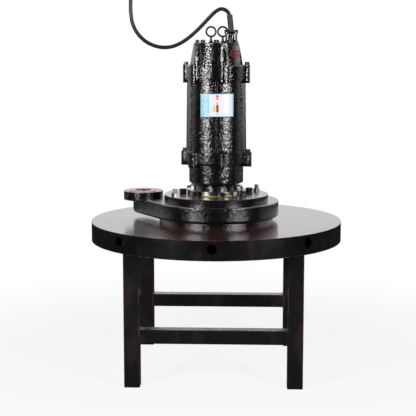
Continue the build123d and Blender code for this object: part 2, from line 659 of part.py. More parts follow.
def make_adapter():
    """The spacer ring and the machined flange that carry the motor on the cover plate."""
    spacer = hoop(SPACER_RADIUS, NECK_RADIUS, COVER_TOP, SPACER_TOP)
    spacer = drill(spacer, ADAPTER_STUD_RADIUS + BOLT_PLAY, COVER_TOP, SPACER_TOP,
                   ADAPTER_STUD_COUNT, ADAPTER_STUD_START, ADAPTER_STUD_CIRCLE)
    save("spacer_ring", spacer)
    spigot_top = NECK_BOTTOM + ADAPTER_SPIGOT_HEIGHT
    seat_low = spigot_top - SEAL_SEAT_THICKNESS
    adapter = turned((COVER_BORE_RADIUS, SPACER_TOP), (ADAPTER_RADIUS, SPACER_TOP, EDGE_ROUND),
                     (ADAPTER_RADIUS, NECK_BOTTOM, EDGE_ROUND), (ADAPTER_SPIGOT_RADIUS - FIT, NECK_BOTTOM),
                     (ADAPTER_SPIGOT_RADIUS - FIT, spigot_top), (SEAL_SEAT_RADIUS, spigot_top),
                     (SEAL_SEAT_RADIUS, seat_low), (COVER_BORE_RADIUS, seat_low))
    adapter = drill(adapter, ADAPTER_STUD_RADIUS + BOLT_PLAY, SPACER_TOP, NECK_BOTTOM,
                    ADAPTER_STUD_COUNT, ADAPTER_STUD_START, ADAPTER_STUD_CIRCLE)
    adapter = drill(adapter, ADAPTER_SCREW_RADIUS + BOLT_PLAY, SPACER_TOP, NECK_BOTTOM,
                    ADAPTER_SCREW_COUNT, 0, ADAPTER_SCREW_CIRCLE)
    sink = SPACER_TOP + ADAPTER_SCREW_SINK
    adapter = drill(adapter, ADAPTER_SCREW_RADIUS * SCREW_WASHER_SHARE, SPACER_TOP, sink,
                    ADAPTER_SCREW_COUNT, 0, ADAPTER_SCREW_CIRCLE)
    save("adapter_flange", adapter)
    stud = rod(ADAPTER_STUD_RADIUS, COVER_TOP - ADAPTER_STUD_GRIP, NECK_BOTTOM + ADAPTER_STUD_RISE)
    held = nut(ADAPTER_STUD_RADIUS, COVER_NUT, NECK_BOTTOM, COVER_NUT_HEIGHT)
    studs = ring_of(stud, ADAPTER_STUD_COUNT, ADAPTER_STUD_START, ADAPTER_STUD_CIRCLE)
    nuts = ring_of(held, ADAPTER_STUD_COUNT, ADAPTER_STUD_START, ADAPTER_STUD_CIRCLE)
    save("adapter_studs_and_nuts", *studs, *nuts)
    length = ADAPTER_THICKNESS - ADAPTER_SCREW_SINK + ADAPTER_SCREW_GRIP
    screw = Pos(0, 0, sink) * (Rot(180, 0, 0) * cap_screw(ADAPTER_SCREW_RADIUS, 0, length))
    screw &= rod(ADAPTER_SCREW_CIRCLE, SPACER_TOP, NECK_TOP)
    save("adapter_screws", *ring_of(screw, ADAPTER_SCREW_COUNT, 0, ADAPTER_SCREW_CIRCLE))


def lug(reach, width, low, high, rounded):
    """A bolt lug that stands out of a flange, with a round foot where it is asked for."""
    depth = reach - CASING_BORE + TOP_WALL / 2
    block = Box(depth, width, high - low, align=INWARD)
    block = fillet(block.edges().filter_by(Axis.Z).group_by(Axis.X)[-1], LUG_ROUND)
    if rounded:
        foot = Rot(0, 90, 0) * Cylinder(width / 2, depth, align=DOWN)
        upright = Box(depth, width, high - low - width / 2, align=INWARD)
        block &= Pos(0, 0, width / 2) * (foot + upright)
    return Pos(reach, 0, low) * block


def lower_lugs(low, high, rounded):
    """The lugs of the seam between oil chamber and casing."""
    block = lug(LOWER_LUG_REACH, LOWER_LUG_WIDTH, low, high, rounded)
    return ring_of(block, LUG_COUNT, LUG_START, 0)


def upper_lugs(low, high, rounded):
    """The lugs of the seam between casing and top cover."""
    block = lug(UPPER_LUG_REACH, UPPER_LUG_WIDTH, low, high, rounded)
    return ring_of(block, LUG_COUNT, LUG_START, 0)


def make_oil_chamber():
    """The oil chamber below the motor, with the lower lugs and the filler plug."""
    shoulder = NECK_TOP + SHOULDER_HEIGHT
    body = OIL_RADIUS - OIL_WALL
    floor = shoulder + OIL_WALL
    flange_low = LOWER_SEAM - OIL_FLANGE
    spigot_low = LOWER_SEAM - BRACKET_SPIGOT
    bore = BRACKET_RADIUS + FIT
    housing = turned((ADAPTER_SPIGOT_RADIUS, NECK_BOTTOM), (NECK_RADIUS, NECK_BOTTOM),
                     (NECK_RADIUS, NECK_TOP), (OIL_RADIUS, shoulder, CAST_ROUND),
                     (OIL_RADIUS, flange_low, CAST_ROUND), (FLANGE_RADIUS, flange_low, CAST_ROUND),
                     (FLANGE_RADIUS, LOWER_SEAM), (bore, LOWER_SEAM), (bore, spigot_low),
                     (body, spigot_low), (body, floor, HOLLOW_ROUND),
                     (ADAPTER_SPIGOT_RADIUS, floor - OIL_WALL / 2))
    housing += lower_lugs(LOWER_SEAM - LOWER_LUG_DROP, LOWER_SEAM, True)
    housing -= rod(body, floor + OIL_WALL, LOWER_SEAM)
    housing -= rod(bore, spigot_low, LOWER_SEAM)
    hole_low = LOWER_SEAM - LOWER_BOLT_GRIP - THREAD_SPACE
    housing = drill(housing, LOWER_BOLT_RADIUS + FIT, hole_low, LOWER_SEAM,
                    LUG_COUNT, LUG_START, LOWER_LUG_CIRCLE)
    housing = drill(housing, ADAPTER_SCREW_RADIUS + FIT, NECK_BOTTOM, NECK_BOTTOM + ADAPTER_SCREW_GRIP,
                    ADAPTER_SCREW_COUNT, 0, ADAPTER_SCREW_CIRCLE)
    at_plug = spoke(OIL_PLUG_ANGLE, 0, (shoulder + flange_low) / 2) * Rot(0, 90, 0)
    seat = OIL_RADIUS + PLUG_BOSS_RISE
    housing += at_plug * rod(PLUG_BOSS_RADIUS, OIL_RADIUS - OIL_WALL / 2, seat)
    housing -= at_plug * rod(PLUG_RADIUS + FIT, body - OIL_WALL, seat)
    save("oil_chamber", housing)
    plug = bolt(PLUG_RADIUS, PLUG_HEAD, seat, PLUG_HEIGHT, OIL_WALL, PLUG_WASHER)
    save("oil_plug", at_plug * plug)


def make_bracket():
    """The bracket between oil chamber and motor that holds the lower bearing and the upper seal."""
    low = LOWER_SEAM - BRACKET_SPIGOT
    seat = low - BRACKET_SEAL_DROP + SEAL_SEAT_THICKNESS
    bore = SHAFT_SEAT_RADIUS + SHAFT_SPACE
    top = BEARING_LOW + LOWER_WIDTH
    cap_top = top + BEARING_CAP_THICKNESS
    circle = (LOWER_OUTER + BRACKET_HUB_RADIUS) / 2
    nose = low - BRACKET_SEAL_DROP
    bracket = turned((SEAL_SEAT_RADIUS, nose), (BRACKET_SEAL_RADIUS, nose),
                     (BRACKET_SEAL_RADIUS, low, PLATE_ROUND), (BRACKET_RADIUS, low),
                     (BRACKET_RADIUS, LOWER_SEAM), (BRACKET_HUB_RADIUS, LOWER_SEAM, PLATE_ROUND),
                     (BRACKET_HUB_RADIUS, top),
                     (LOWER_OUTER + FIT, top), (LOWER_OUTER + FIT, BEARING_LOW), (bore, BEARING_LOW),
                     (bore, seat), (SEAL_SEAT_RADIUS, seat))
    bracket = drill(bracket, CAP_SCREW_RADIUS + FIT, top - CAP_SCREW_GRIP, top,
                    CAP_SCREW_COUNT, 0, circle)
    save("bearing_bracket", bracket)
    cap = hoop(BRACKET_HUB_RADIUS, BEARING_CAP_BORE, top, cap_top)
    cap = drill(cap, CAP_SCREW_RADIUS + BOLT_PLAY, top, cap_top, CAP_SCREW_COUNT, 0, circle)
    save("bearing_cap", cap)
    screw = cap_screw(CAP_SCREW_RADIUS, cap_top, BEARING_CAP_THICKNESS + CAP_SCREW_GRIP)
    save("bearing_cap_screws", *ring_of(screw, CAP_SCREW_COUNT, 0, circle))


def make_casing():
    """The ribbed motor casing between the two bolted seams."""
    low = LOWER_SEAM + CASING_LOWER_FLANGE
    high = UPPER_SEAM - CASING_UPPER_FLANGE
    groove = (CASING_BORE + FLANGE_RADIUS) / 2
    tube = turned((CASING_BORE, LOWER_SEAM), (FLANGE_RADIUS, LOWER_SEAM), (FLANGE_RADIUS, low, EDGE_ROUND),
                  (CASING_FOOT_RADIUS, low), (CASING_TOP_RADIUS, high), (FLANGE_RADIUS, high, PLATE_ROUND),
                  (FLANGE_RADIUS, UPPER_SEAM), (CASING_BORE, UPPER_SEAM))
    slope = degrees(atan2(CASING_FOOT_RADIUS - CASING_TOP_RADIUS, high - low))
    rib = Box(2 * RIB_RISE, RIB_WIDTH, high - low + RIB_RISE, align=UP)
    rib = fillet(rib.edges().filter_by(Axis.Z).group_by(Axis.X)[-1], RIB_ROUND)
    rib = Pos(CASING_FOOT_RADIUS, 0, low) * (Rot(0, -slope, 0) * rib)
    start = LUG_START + 180 / RIB_COUNT
    tube += ring_of(rib, RIB_COUNT, start, 0)
    seat = low - LUG_STEP
    tube += lower_lugs(LOWER_SEAM, seat, False)
    tube += upper_lugs(UPPER_SEAM - UPPER_LUG_DROP, UPPER_SEAM, True)
    rating_low = LOWER_SEAM + RATING_LOW
    rating_top = rating_low + RATING_HEIGHT
    pad_low = rating_low - RATING_MARGIN
    pad_top = rating_top + RATING_MARGIN
    pad_arc = RATING_ARC + 2 * RATING_SIDE
    pad = turned((CASING_BORE, pad_low), (RATING_PAD_RADIUS, pad_low, PLATE_ROUND),
                 (RATING_PAD_RADIUS, pad_top, PLATE_ROUND), (CASING_BORE, pad_top), arc=pad_arc)
    over_pad = turned((RATING_PAD_RADIUS, pad_low), (UPPER_LUG_REACH, pad_low), (UPPER_LUG_REACH, pad_top),
                      (RATING_PAD_RADIUS, pad_top), arc=pad_arc)
    tube += spoke(RATING_START - RATING_SIDE) * pad
    tube -= spoke(RATING_START - RATING_SIDE) * over_pad
    tube -= rod(CASING_BORE, LOWER_SEAM, UPPER_SEAM)
    tube = drill(tube, LOWER_BOLT_RADIUS + BOLT_PLAY, LOWER_SEAM, low,
                 LUG_COUNT, LUG_START, LOWER_LUG_CIRCLE)
    recess = seat + 2 * FLANGE_BOLT_HEIGHT
    tube = drill(tube, LUG_RECESS_RADIUS, seat, recess, LUG_COUNT, LUG_START, LOWER_LUG_CIRCLE)
    hole_low = UPPER_SEAM - UPPER_BOLT_GRIP - THREAD_SPACE
    tube = drill(tube, UPPER_BOLT_RADIUS + FIT, hole_low, UPPER_SEAM,
                 LUG_COUNT, LUG_START, UPPER_LUG_CIRCLE)
    for face in (LOWER_SEAM, UPPER_SEAM - 2 * SEAL_CORD):
        tube -= hoop(groove + SEAL_CORD + FIT, groove - SEAL_CORD - FIT, face, face + 2 * SEAL_CORD)
    save("motor_casing", tube)
    rings = [Pos(0, 0, LOWER_SEAM + SEAL_CORD) * Torus(groove, SEAL_CORD - FIT),
             Pos(0, 0, UPPER_SEAM - SEAL_CORD) * Torus(groove, SEAL_CORD - FIT)]
    save("casing_seal_rings", *rings)
    back = RATING_PAD_RADIUS + PLATE_GLUE
    front = back + PLATE_THICKNESS
    plate = turned((back, rating_low), (front, rating_low), (front, rating_top), (back, rating_top),
                   arc=RATING_ARC)
    save("rating_plate", spoke(RATING_START) * plate)
    lower = bolt(LOWER_BOLT_RADIUS, LOWER_BOLT_HEAD, seat, FLANGE_BOLT_HEIGHT,
                 seat - LOWER_SEAM + LOWER_BOLT_GRIP, FLANGE_BOLT_WASHER)
    save("lower_flange_bolts", *ring_of(lower, LUG_COUNT, LUG_START, LOWER_LUG_CIRCLE))


def cone_radius(level):
    """The top cover's outer radius at a level."""
    low = UPPER_SEAM + TOP_FLANGE
    share = (level - low) / (TOP_LEVEL - low)
    return TOP_FOOT_RADIUS + (TOP_NECK_RADIUS - TOP_FOOT_RADIUS) * share


def make_top_cover():
    """The top cover with its bolt recesses, upper bearing seat and terminal space."""
    flange_top = UPPER_SEAM + TOP_FLANGE
    web_low = UPPER_SEAM + WEB_LEVEL
    web_top = web_low + WEB_THICKNESS
    wall = CASING_BORE - TOP_WALL / 2
    hub = UPPER_OUTER + TOP_WALL
    seat = flange_top + LUG_STEP
    bore = UPPER_OUTER + FIT
    bore_low = UPPER_BEARING_LOW - BEARING_RELIEF
    bore_top = web_low + BEARING_RELIEF
    cover = turned((0, bore_top), (bore, bore_top), (bore, bore_low), (hub, bore_low, PLATE_ROUND),
                   (hub, web_low), (wall, web_low), (wall, UPPER_SEAM), (FLANGE_RADIUS, UPPER_SEAM),
                   (FLANGE_RADIUS, flange_top, CAST_ROUND), (TOP_FOOT_RADIUS, flange_top),
                   (TOP_NECK_RADIUS, TOP_LEVEL, PLATE_ROUND), (TOP_INNER_RADIUS, TOP_LEVEL),
                   (TOP_INNER_RADIUS, web_top, CAST_ROUND), (0, web_top))
    scallop = rod(SCALLOP_RADIUS, flange_top, TOP_LEVEL)
    cover -= ring_of(scallop, LUG_COUNT, LUG_START, UPPER_LUG_CIRCLE)
    cover += upper_lugs(UPPER_SEAM, seat, False)
    cover -= rod(wall, UPPER_SEAM, web_low) - rod(hub, UPPER_SEAM, web_low)
    cover = drill(cover, UPPER_BOLT_RADIUS + BOLT_PLAY, UPPER_SEAM, TOP_LEVEL - TOP_WALL,
                  LUG_COUNT, LUG_START, UPPER_LUG_CIRCLE)
    cover = drill(cover, LEAD_HOLE_RADIUS, web_low, web_top,
                  1, LEAD_HOLE_ANGLE, (hub + TOP_INNER_RADIUS) / 2)
    boss = rod(LID_BOSS_RADIUS, TOP_LEVEL - 2 * LID_BOLT_GRIP, TOP_LEVEL)
    inside = rod(TOP_NECK_RADIUS - PLATE_ROUND, web_top, TOP_LEVEL)
    cover += [copy & inside for copy in ring_of(boss, LID_BOLT_COUNT, LID_BOLT_START, LID_BOLT_CIRCLE)]
    cover = drill(cover, LID_BOLT_RADIUS + FIT, TOP_LEVEL - LID_BOLT_GRIP, TOP_LEVEL,
                  LID_BOLT_COUNT, LID_BOLT_START, LID_BOLT_CIRCLE)
    save("top_cover", cover)
    upper = bolt(UPPER_BOLT_RADIUS, UPPER_BOLT_HEAD, seat, FLANGE_BOLT_HEIGHT,
                 seat - UPPER_SEAM + UPPER_BOLT_GRIP, FLANGE_BOLT_WASHER)
    save("upper_flange_bolts", *ring_of(upper, LUG_COUNT, LUG_START, UPPER_LUG_CIRCLE))
    low = TOP_LEVEL - ARROW_TOP
    high = low + ARROW_HEIGHT
    low_back = cone_radius(low) + PLATE_GLUE
    high_back = cone_radius(high) + PLATE_GLUE
    arrow = turned((low_back, low), (low_back + PLATE_THICKNESS, low),
                   (high_back + PLATE_THICKNESS, high), (high_back, high), arc=ARROW_ARC)
    save("arrow_plate", spoke(ARROW_START) * arrow)
    at_block = Pos(0, -TERMINAL_WIDTH / 2, web_top)
    block = at_block * Box(TERMINAL_LENGTH, TERMINAL_WIDTH, TERMINAL_HEIGHT, align=UP)
    post = at_block * rod(TERMINAL_POST, TERMINAL_HEIGHT, TERMINAL_HEIGHT + 2 * TERMINAL_POST)
    posts = [Pos(x, 0, 0) * post for x in (-TERMINAL_PITCH, 0, TERMINAL_PITCH)]
    save("terminal_block", block, *posts)


def make_lid():
    """The lid with its screws and the two lifting eyes."""
    lid = turned((0, TOP_LEVEL), (LID_RADIUS, TOP_LEVEL, EDGE_ROUND),
                 (LID_RADIUS, LID_TOP, PLATE_ROUND), (0, LID_TOP))
    lid = drill(lid, LID_BOLT_RADIUS + BOLT_PLAY, TOP_LEVEL, LID_TOP,
                LID_BOLT_COUNT, LID_BOLT_START, LID_BOLT_CIRCLE)
    for x in (EYE_LEFT, EYE_RIGHT):
        lid -= Pos(x, 0, 0) * rod(EYE_SHANK + FIT, TOP_LEVEL, LID_TOP)
    at_gland = Pos(GLAND_X, GLAND_Y, 0)
    lid -= at_gland * rod(CABLE_RADIUS + BOLT_PLAY, TOP_LEVEL, LID_TOP)
    for side in (-GLAND_STUD_REACH, GLAND_STUD_REACH):
        lid -= at_gland * (Pos(side, 0, 0) * rod(GLAND_STUD_RADIUS + FIT, TOP_LEVEL, LID_TOP))
    save("terminal_lid", lid)
    screw = cap_screw(LID_BOLT_RADIUS, LID_TOP + LID_WASHER, LID_WASHER + LID_THICKNESS + LID_BOLT_GRIP)
    screw += rod(LID_BOLT_RADIUS * SCREW_WASHER_SHARE, LID_TOP, LID_TOP + LID_WASHER)
    save("lid_screws", *ring_of(screw, LID_BOLT_COUNT, LID_BOLT_START, LID_BOLT_CIRCLE))
    eye = Pos(0, 0, LID_TOP + EYE_LIFT) * (Rot(90, 0, 0) * Torus(EYE_RADIUS, EYE_WIRE))
    neck_top = LID_TOP + EYE_LIFT - EYE_RADIUS
    eye += turned((0, TOP_LEVEL), (EYE_SHANK, TOP_LEVEL, EDGE_ROUND), (EYE_SHANK, LID_TOP),
                  (EYE_COLLAR, LID_TOP), (EYE_COLLAR, LID_TOP + EYE_WIRE, EDGE_ROUND),
                  (EYE_SHANK, LID_TOP + 2 * EYE_WIRE, PLATE_ROUND),
                  (EYE_WIRE, neck_top), (0, neck_top))
    save("lifting_eyes", *[Pos(x, 0, 0) * eye for x in (EYE_LEFT, EYE_RIGHT)])


def make_gland():
    """The stuffing gland, its clamp studs and the rubber boot round the cable."""
    at_gland = Pos(GLAND_X, GLAND_Y, 0)
    base_top = LID_TOP + GLAND_BASE
    tube_top = base_top + GLAND_TUBE
    plan = SlotOverall(GLAND_LENGTH, GLAND_WIDTH)
    base = Pos(0, 0, LID_TOP) * extrude(plan, GLAND_BASE)
    base = fillet(base.edges().group_by(Axis.Z)[-1], EDGE_ROUND)
    body = base + rod(GLAND_RADIUS, base_top, tube_top)
    body -= rod(CABLE_RADIUS + BOLT_PLAY, LID_TOP, tube_top)
    body -= rod(GLAND_BORE, base_top, tube_top)
    studs = (-GLAND_STUD_REACH, GLAND_STUD_REACH)
    for side in studs:
        body -= Pos(side, 0, 0) * rod(GLAND_STUD_RADIUS + FIT, LID_TOP, tube_top)
    save("cable_gland", at_gland * body)
    follower = Pos(0, 0, tube_top + GLAND_GAP) * extrude(plan, FOLLOWER_THICKNESS)
    follower = fillet(follower.edges().group_by(Axis.Z)[-1], PLATE_ROUND)
    follower_top = tube_top + GLAND_GAP + FOLLOWER_THICKNESS
    follower -= rod(BOOT_COLLAR_RADIUS + FIT, tube_top, follower_top)
    for side in studs:
        follower -= Pos(side, 0, 0) * rod(GLAND_STUD_RADIUS + BOLT_PLAY, tube_top, follower_top)
    save("gland_clamp", at_gland * follower)
    stud = rod(GLAND_STUD_RADIUS, TOP_LEVEL, follower_top)
    stud += hexagon(GLAND_NUT, follower_top, follower_top + GLAND_NUT_HEIGHT)
    save("gland_bolts", *[at_gland * (Pos(side, 0, 0) * stud) for side in studs])

    start = Vector(*CABLE_ROUTE[0])
    mouth = start + (Vector(*CABLE_ROUTE[1]) - start) * BOOT_LAP
    foot = Vector(GLAND_X, GLAND_Y, follower_top)
    axis = (mouth - foot).normalized()
    foot -= axis * BOOT_FOOT_TRIM
    cone = Cone(BOOT_FOOT_RADIUS, BOOT_TOP_RADIUS, (mouth - foot).length, align=UP)
    boot = Plane(origin=foot, z_dir=axis) * cone
    boot -= at_gland * rod(2 * BOOT_FOOT_RADIUS, tube_top, follower_top)
    boot += at_gland * rod(BOOT_COLLAR_RADIUS, tube_top, follower_top + BOOT_FOOT_TRIM)
    lead = Plane(origin=start, z_dir=mouth - start)
    boot -= lead * Cylinder(CABLE_RADIUS, (mouth - start).length * 2, align=UP)
    save("cable_boot", boot)


def cable_radii():
    """The radius of each arc of the cable, as large as its two runs allow."""
    points = [Vector(*point) for point in CABLE_ROUTE]
    radii = []
    for before, here, after in zip(points, points[1:], points[2:]):
        run_in = here - before
        run_out = after - here
        shorter = min(run_in.length, run_out.length)
        radii.append(ARC_SHARE * shorter / tan(radians(run_in.get_angle(run_out)) / 2))
    return radii


def make_cable():
    """The cable along its route, and the hanger that holds its far end."""
    radii = cable_radii()
    path = FilletPolyline(*CABLE_ROUTE, radius=radii)
    section = Plane(origin=path @ 0, z_dir=path % 0) * Circle(CABLE_RADIUS)
    cable = sweep(section, path)
    print("cable radii", [round(radius) for radius in radii])
    print("cable length", round(path.length), "volume share",
          round(cable.volume / (pi * CABLE_RADIUS ** 2 * path.length), 4))
    save("cable", cable)
    end = Vector(*CABLE_ROUTE[-1])
    grip = hoop(HANGER_RADIUS, CABLE_RADIUS + BOLT_PLAY, -HANGER_GRIP, 0)
    grip += turned((0, 0), (HANGER_RADIUS, 0), (HANGER_RADIUS, HANGER_CAP, PLATE_ROUND), (0, HANGER_CAP))
    eye = Rot(90, 0, 0) * Torus(HANGER_EYE_RADIUS, HANGER_EYE_WIRE)
    eye = Pos(0, 0, HANGER_CAP + HANGER_EYE_RADIUS) * eye
    save("cable_hanger", Plane(origin=end, z_dir=path % 1) * (grip + eye))


def bearing(name, inner, pitch, ball, outer, low, width):
    """A deep-groove ball bearing: two races, the balls and their cage."""
    middle = low + width / 2
    groove = Pos(0, 0, middle) * Torus(pitch, ball + RUNNING)
    lip = ball * RACE_LIP
    save(name + "_inner_race", hoop(pitch - lip, inner + FIT, low, low + width) - groove)
    save(name + "_outer_race", hoop(outer, pitch + lip, low, low + width) - groove)
    balls = [spoke(angle, pitch, middle) * Sphere(ball) for angle in around(BALL_COUNT)]
    save(name + "_balls", *balls)
    half = ball * CAGE_SHARE
    height = width / 2 - FIT
    cage = hoop(pitch + half, pitch - half, middle - height, middle + height)
    pocket = Rot(0, 90, 0) * Cylinder(ball + RUNNING, ball)
    cage -= [spoke(angle, pitch, middle) * pocket for angle in around(BALL_COUNT)]
    save(name + "_cage", cage)


def make_bearings():
    """The two bearings of the shaft."""
    bearing("lower_bearing", SHAFT_SEAT_RADIUS, LOWER_PITCH, LOWER_BALL, LOWER_OUTER,
            BEARING_LOW, LOWER_WIDTH)
    bearing("upper_bearing", SHAFT_TOP_RADIUS, UPPER_PITCH, UPPER_BALL, UPPER_OUTER,
            UPPER_BEARING_LOW, UPPER_WIDTH)


def make_stator():
    """The laminated core pressed in the casing, with a winding head at each end."""
    core = hoop(CASING_BORE - FIT, STATOR_BORE, CORE_BOTTOM, CORE_TOP)
    save("stator_core", core)
    heads = []
    for low in (CORE_BOTTOM - WINDING_LENGTH, CORE_TOP):
        high = low + WINDING_LENGTH
        heads.append(turned((WINDING_INNER, low, WINDING_ROUND), (WINDING_OUTER, low, WINDING_ROUND),
                            (WINDING_OUTER, high, WINDING_ROUND), (WINDING_INNER, high, WINDING_ROUND)))
    save("stator_windings", *heads)


def make_rotor():
    """The shaft with the rotor core, its end rings and the impeller key."""
    washer_low = IMPELLER_BOTTOM - IMPELLER_WASHER
    nut_low = washer_low - IMPELLER_NUT_HEIGHT
    hub_top = IMPELLER_BOTTOM + IMPELLER_HEIGHT
    seal_low = NECK_BOTTOM + ADAPTER_SPIGOT_HEIGHT - SEAL_SEAT_THICKNESS - SHAFT_STEP
    seat_low = BEARING_LOW - SHAFT_SHOULDER
    seat_top = UPPER_BEARING_LOW + UPPER_WIDTH
    core_low = CORE_BOTTOM - END_RING_LENGTH
    collar_low = core_low - CORE_SHOULDER
    core_top = CORE_TOP + END_RING_LENGTH
    shaft = turned((0, nut_low), (SHAFT_THREAD_RADIUS, nut_low), (SHAFT_THREAD_RADIUS, IMPELLER_BOTTOM),
                   (SHAFT_IMPELLER_RADIUS, IMPELLER_BOTTOM), (SHAFT_IMPELLER_RADIUS, hub_top),
                   (SHAFT_LOWER_RADIUS, hub_top), (SHAFT_LOWER_RADIUS, seal_low),
                   (SHAFT_SEAL_RADIUS, seal_low), (SHAFT_SEAL_RADIUS, seat_low),
                   (SHAFT_SEAT_RADIUS, seat_low), (SHAFT_SEAT_RADIUS, collar_low),
                   (SHAFT_CORE_RADIUS, collar_low), (SHAFT_CORE_RADIUS, core_top),
                   (SHAFT_SEAT_RADIUS, core_top), (SHAFT_SEAT_RADIUS, UPPER_BEARING_LOW),
                   (SHAFT_TOP_RADIUS, UPPER_BEARING_LOW), (SHAFT_TOP_RADIUS, seat_top), (0, seat_top))
    slot_low = IMPELLER_BOTTOM + (IMPELLER_HEIGHT - KEY_LENGTH) / 2
    slot = Pos(SHAFT_IMPELLER_RADIUS, 0, slot_low) * Box(KEY_HEIGHT, KEY_WIDTH, KEY_LENGTH, align=UP)
    save("rotor_shaft", shaft - slot)
    key = Box(KEY_HEIGHT - FIT, KEY_WIDTH - FIT, KEY_LENGTH - FIT, align=UP)
    save("impeller_key", Pos(SHAFT_IMPELLER_RADIUS, 0, slot_low) * key)
    core = hoop(STATOR_BORE - AIR_GAP, SHAFT_CORE_RADIUS + FIT, CORE_BOTTOM, CORE_TOP)
    save("rotor_core", core)
    ring = hoop(END_RING_RADIUS, SHAFT_CORE_RADIUS + FIT, 0, END_RING_LENGTH)
    save("rotor_end_rings", Pos(0, 0, core_low) * ring, Pos(0, 0, CORE_TOP) * ring)

    disc_low = IMPELLER_BOTTOM + (IMPELLER_HEIGHT - IMPELLER_DISC) / 2
    impeller = rod(IMPELLER_RADIUS, disc_low, disc_low + IMPELLER_DISC)
    impeller += rod(IMPELLER_HUB_RADIUS, IMPELLER_BOTTOM, hub_top)
    blade = Box(IMPELLER_RADIUS, BLADE_THICKNESS, IMPELLER_HEIGHT, align=OUTWARD)
    blade = Rot(0, 0, BLADE_LEAN) * blade
    blade = Pos(IMPELLER_HUB_RADIUS - BLADE_THICKNESS, 0, IMPELLER_BOTTOM) * blade
    trim = rod(IMPELLER_RADIUS, IMPELLER_BOTTOM, hub_top)
    impeller += [copy & trim for copy in ring_of(blade, IMPELLER_BLADES, 0, 0)]
    impeller -= rod(SHAFT_IMPELLER_RADIUS + FIT, IMPELLER_BOTTOM, hub_top)
    hub_slot = Box(KEY_HEIGHT, KEY_WIDTH, slot_low + KEY_LENGTH - IMPELLER_BOTTOM, align=UP)
    save("impeller", impeller - Pos(SHAFT_IMPELLER_RADIUS, 0, IMPELLER_BOTTOM) * hub_slot)
    washer = hoop(IMPELLER_WASHER_RADIUS, SHAFT_THREAD_RADIUS + FIT, washer_low, IMPELLER_BOTTOM)
    held = nut(SHAFT_THREAD_RADIUS, IMPELLER_NUT, nut_low, IMPELLER_NUT_HEIGHT)
    save("impeller_nut", washer, held)


def make_seals():
    """The double shaft seal: a seat below, a seat above, and two rings spread by one spring."""
    low_face = NECK_BOTTOM + ADAPTER_SPIGOT_HEIGHT
    high_face = LOWER_SEAM - BRACKET_SPIGOT - BRACKET_SEAL_DROP
    seat = hoop(SEAL_SEAT_RADIUS - FIT, SHAFT_SEAL_RADIUS + SEAL_SPACE, 0, SEAL_SEAT_THICKNESS)
    save("seal_seats", Pos(0, 0, low_face - SEAL_SEAT_THICKNESS) * seat, Pos(0, 0, high_face) * seat)
    ring = hoop(SEAL_RING_RADIUS, SHAFT_SEAL_RADIUS + FIT, 0, SEAL_RING_THICKNESS)
    ring_high = high_face - FIT - SEAL_RING_THICKNESS
    save("seal_rings", Pos(0, 0, low_face + FIT) * ring, Pos(0, 0, ring_high) * ring)
    spring_low = low_face + FIT + SEAL_RING_THICKNESS + SPRING_WIRE
    rise = ring_high - SPRING_WIRE - spring_low
    helix = Helix(rise / SPRING_TURNS, rise, SPRING_RADIUS)
    section = Plane(origin=helix @ 0, z_dir=helix % 0) * Circle(SPRING_WIRE - FIT)
    save("seal_spring", Pos(0, 0, spring_low) * sweep(section, helix, is_frenet=True))


if __name__ == "__main__":
    os.makedirs("parts", exist_ok=True)
    make_stand()
    make_disc()
    make_suction()
    make_air_chamber()
    make_cover()
    make_adapter()
    make_oil_chamber()
    make_bracket()
    make_casing()
    make_top_cover()
    make_lid()
    make_gland()
    make_cable()
    make_bearings()
    make_stator()
    make_rotor()
    make_seals()
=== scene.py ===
import json
import math
import random

import bmesh
import bpy
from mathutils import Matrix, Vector

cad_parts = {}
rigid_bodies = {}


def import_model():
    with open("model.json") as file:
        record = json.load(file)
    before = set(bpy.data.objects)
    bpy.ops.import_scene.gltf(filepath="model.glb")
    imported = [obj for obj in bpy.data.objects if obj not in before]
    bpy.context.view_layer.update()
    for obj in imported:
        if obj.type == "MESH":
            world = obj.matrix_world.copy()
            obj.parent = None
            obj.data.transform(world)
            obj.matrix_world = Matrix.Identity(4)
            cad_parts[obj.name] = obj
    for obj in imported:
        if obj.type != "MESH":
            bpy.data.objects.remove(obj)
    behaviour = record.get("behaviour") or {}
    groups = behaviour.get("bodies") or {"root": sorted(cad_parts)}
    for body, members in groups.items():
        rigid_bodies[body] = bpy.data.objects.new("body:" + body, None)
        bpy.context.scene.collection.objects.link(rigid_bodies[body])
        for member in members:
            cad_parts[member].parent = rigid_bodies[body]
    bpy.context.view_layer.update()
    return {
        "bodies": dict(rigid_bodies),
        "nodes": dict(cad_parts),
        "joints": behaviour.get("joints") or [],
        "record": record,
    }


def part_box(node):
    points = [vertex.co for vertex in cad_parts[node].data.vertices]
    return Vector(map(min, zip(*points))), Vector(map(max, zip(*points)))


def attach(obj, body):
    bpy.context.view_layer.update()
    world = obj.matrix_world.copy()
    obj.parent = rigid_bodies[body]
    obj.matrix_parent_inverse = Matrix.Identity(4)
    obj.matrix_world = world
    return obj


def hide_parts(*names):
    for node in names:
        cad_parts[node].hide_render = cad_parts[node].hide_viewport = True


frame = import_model()
nodes = frame["nodes"]
random.seed(7)

# The camera stands a little to the right, 4.5 m from the motor shaft.
view = {"place": (0.142, -4.519, 1.310), "target": (-0.033, 0.0, 0.6455), "lens": 98.2}


def makeCamera():
    camera = bpy.data.objects.new("camera", bpy.data.cameras.new("camera"))
    camera.location = view["place"]
    aim = Vector(view["target"]) - Vector(view["place"])
    camera.rotation_euler = aim.to_track_quat("-Z", "Y").to_euler()
    camera.data.lens = view["lens"]
    bpy.context.scene.collection.objects.link(camera)
    bpy.context.scene.camera = camera


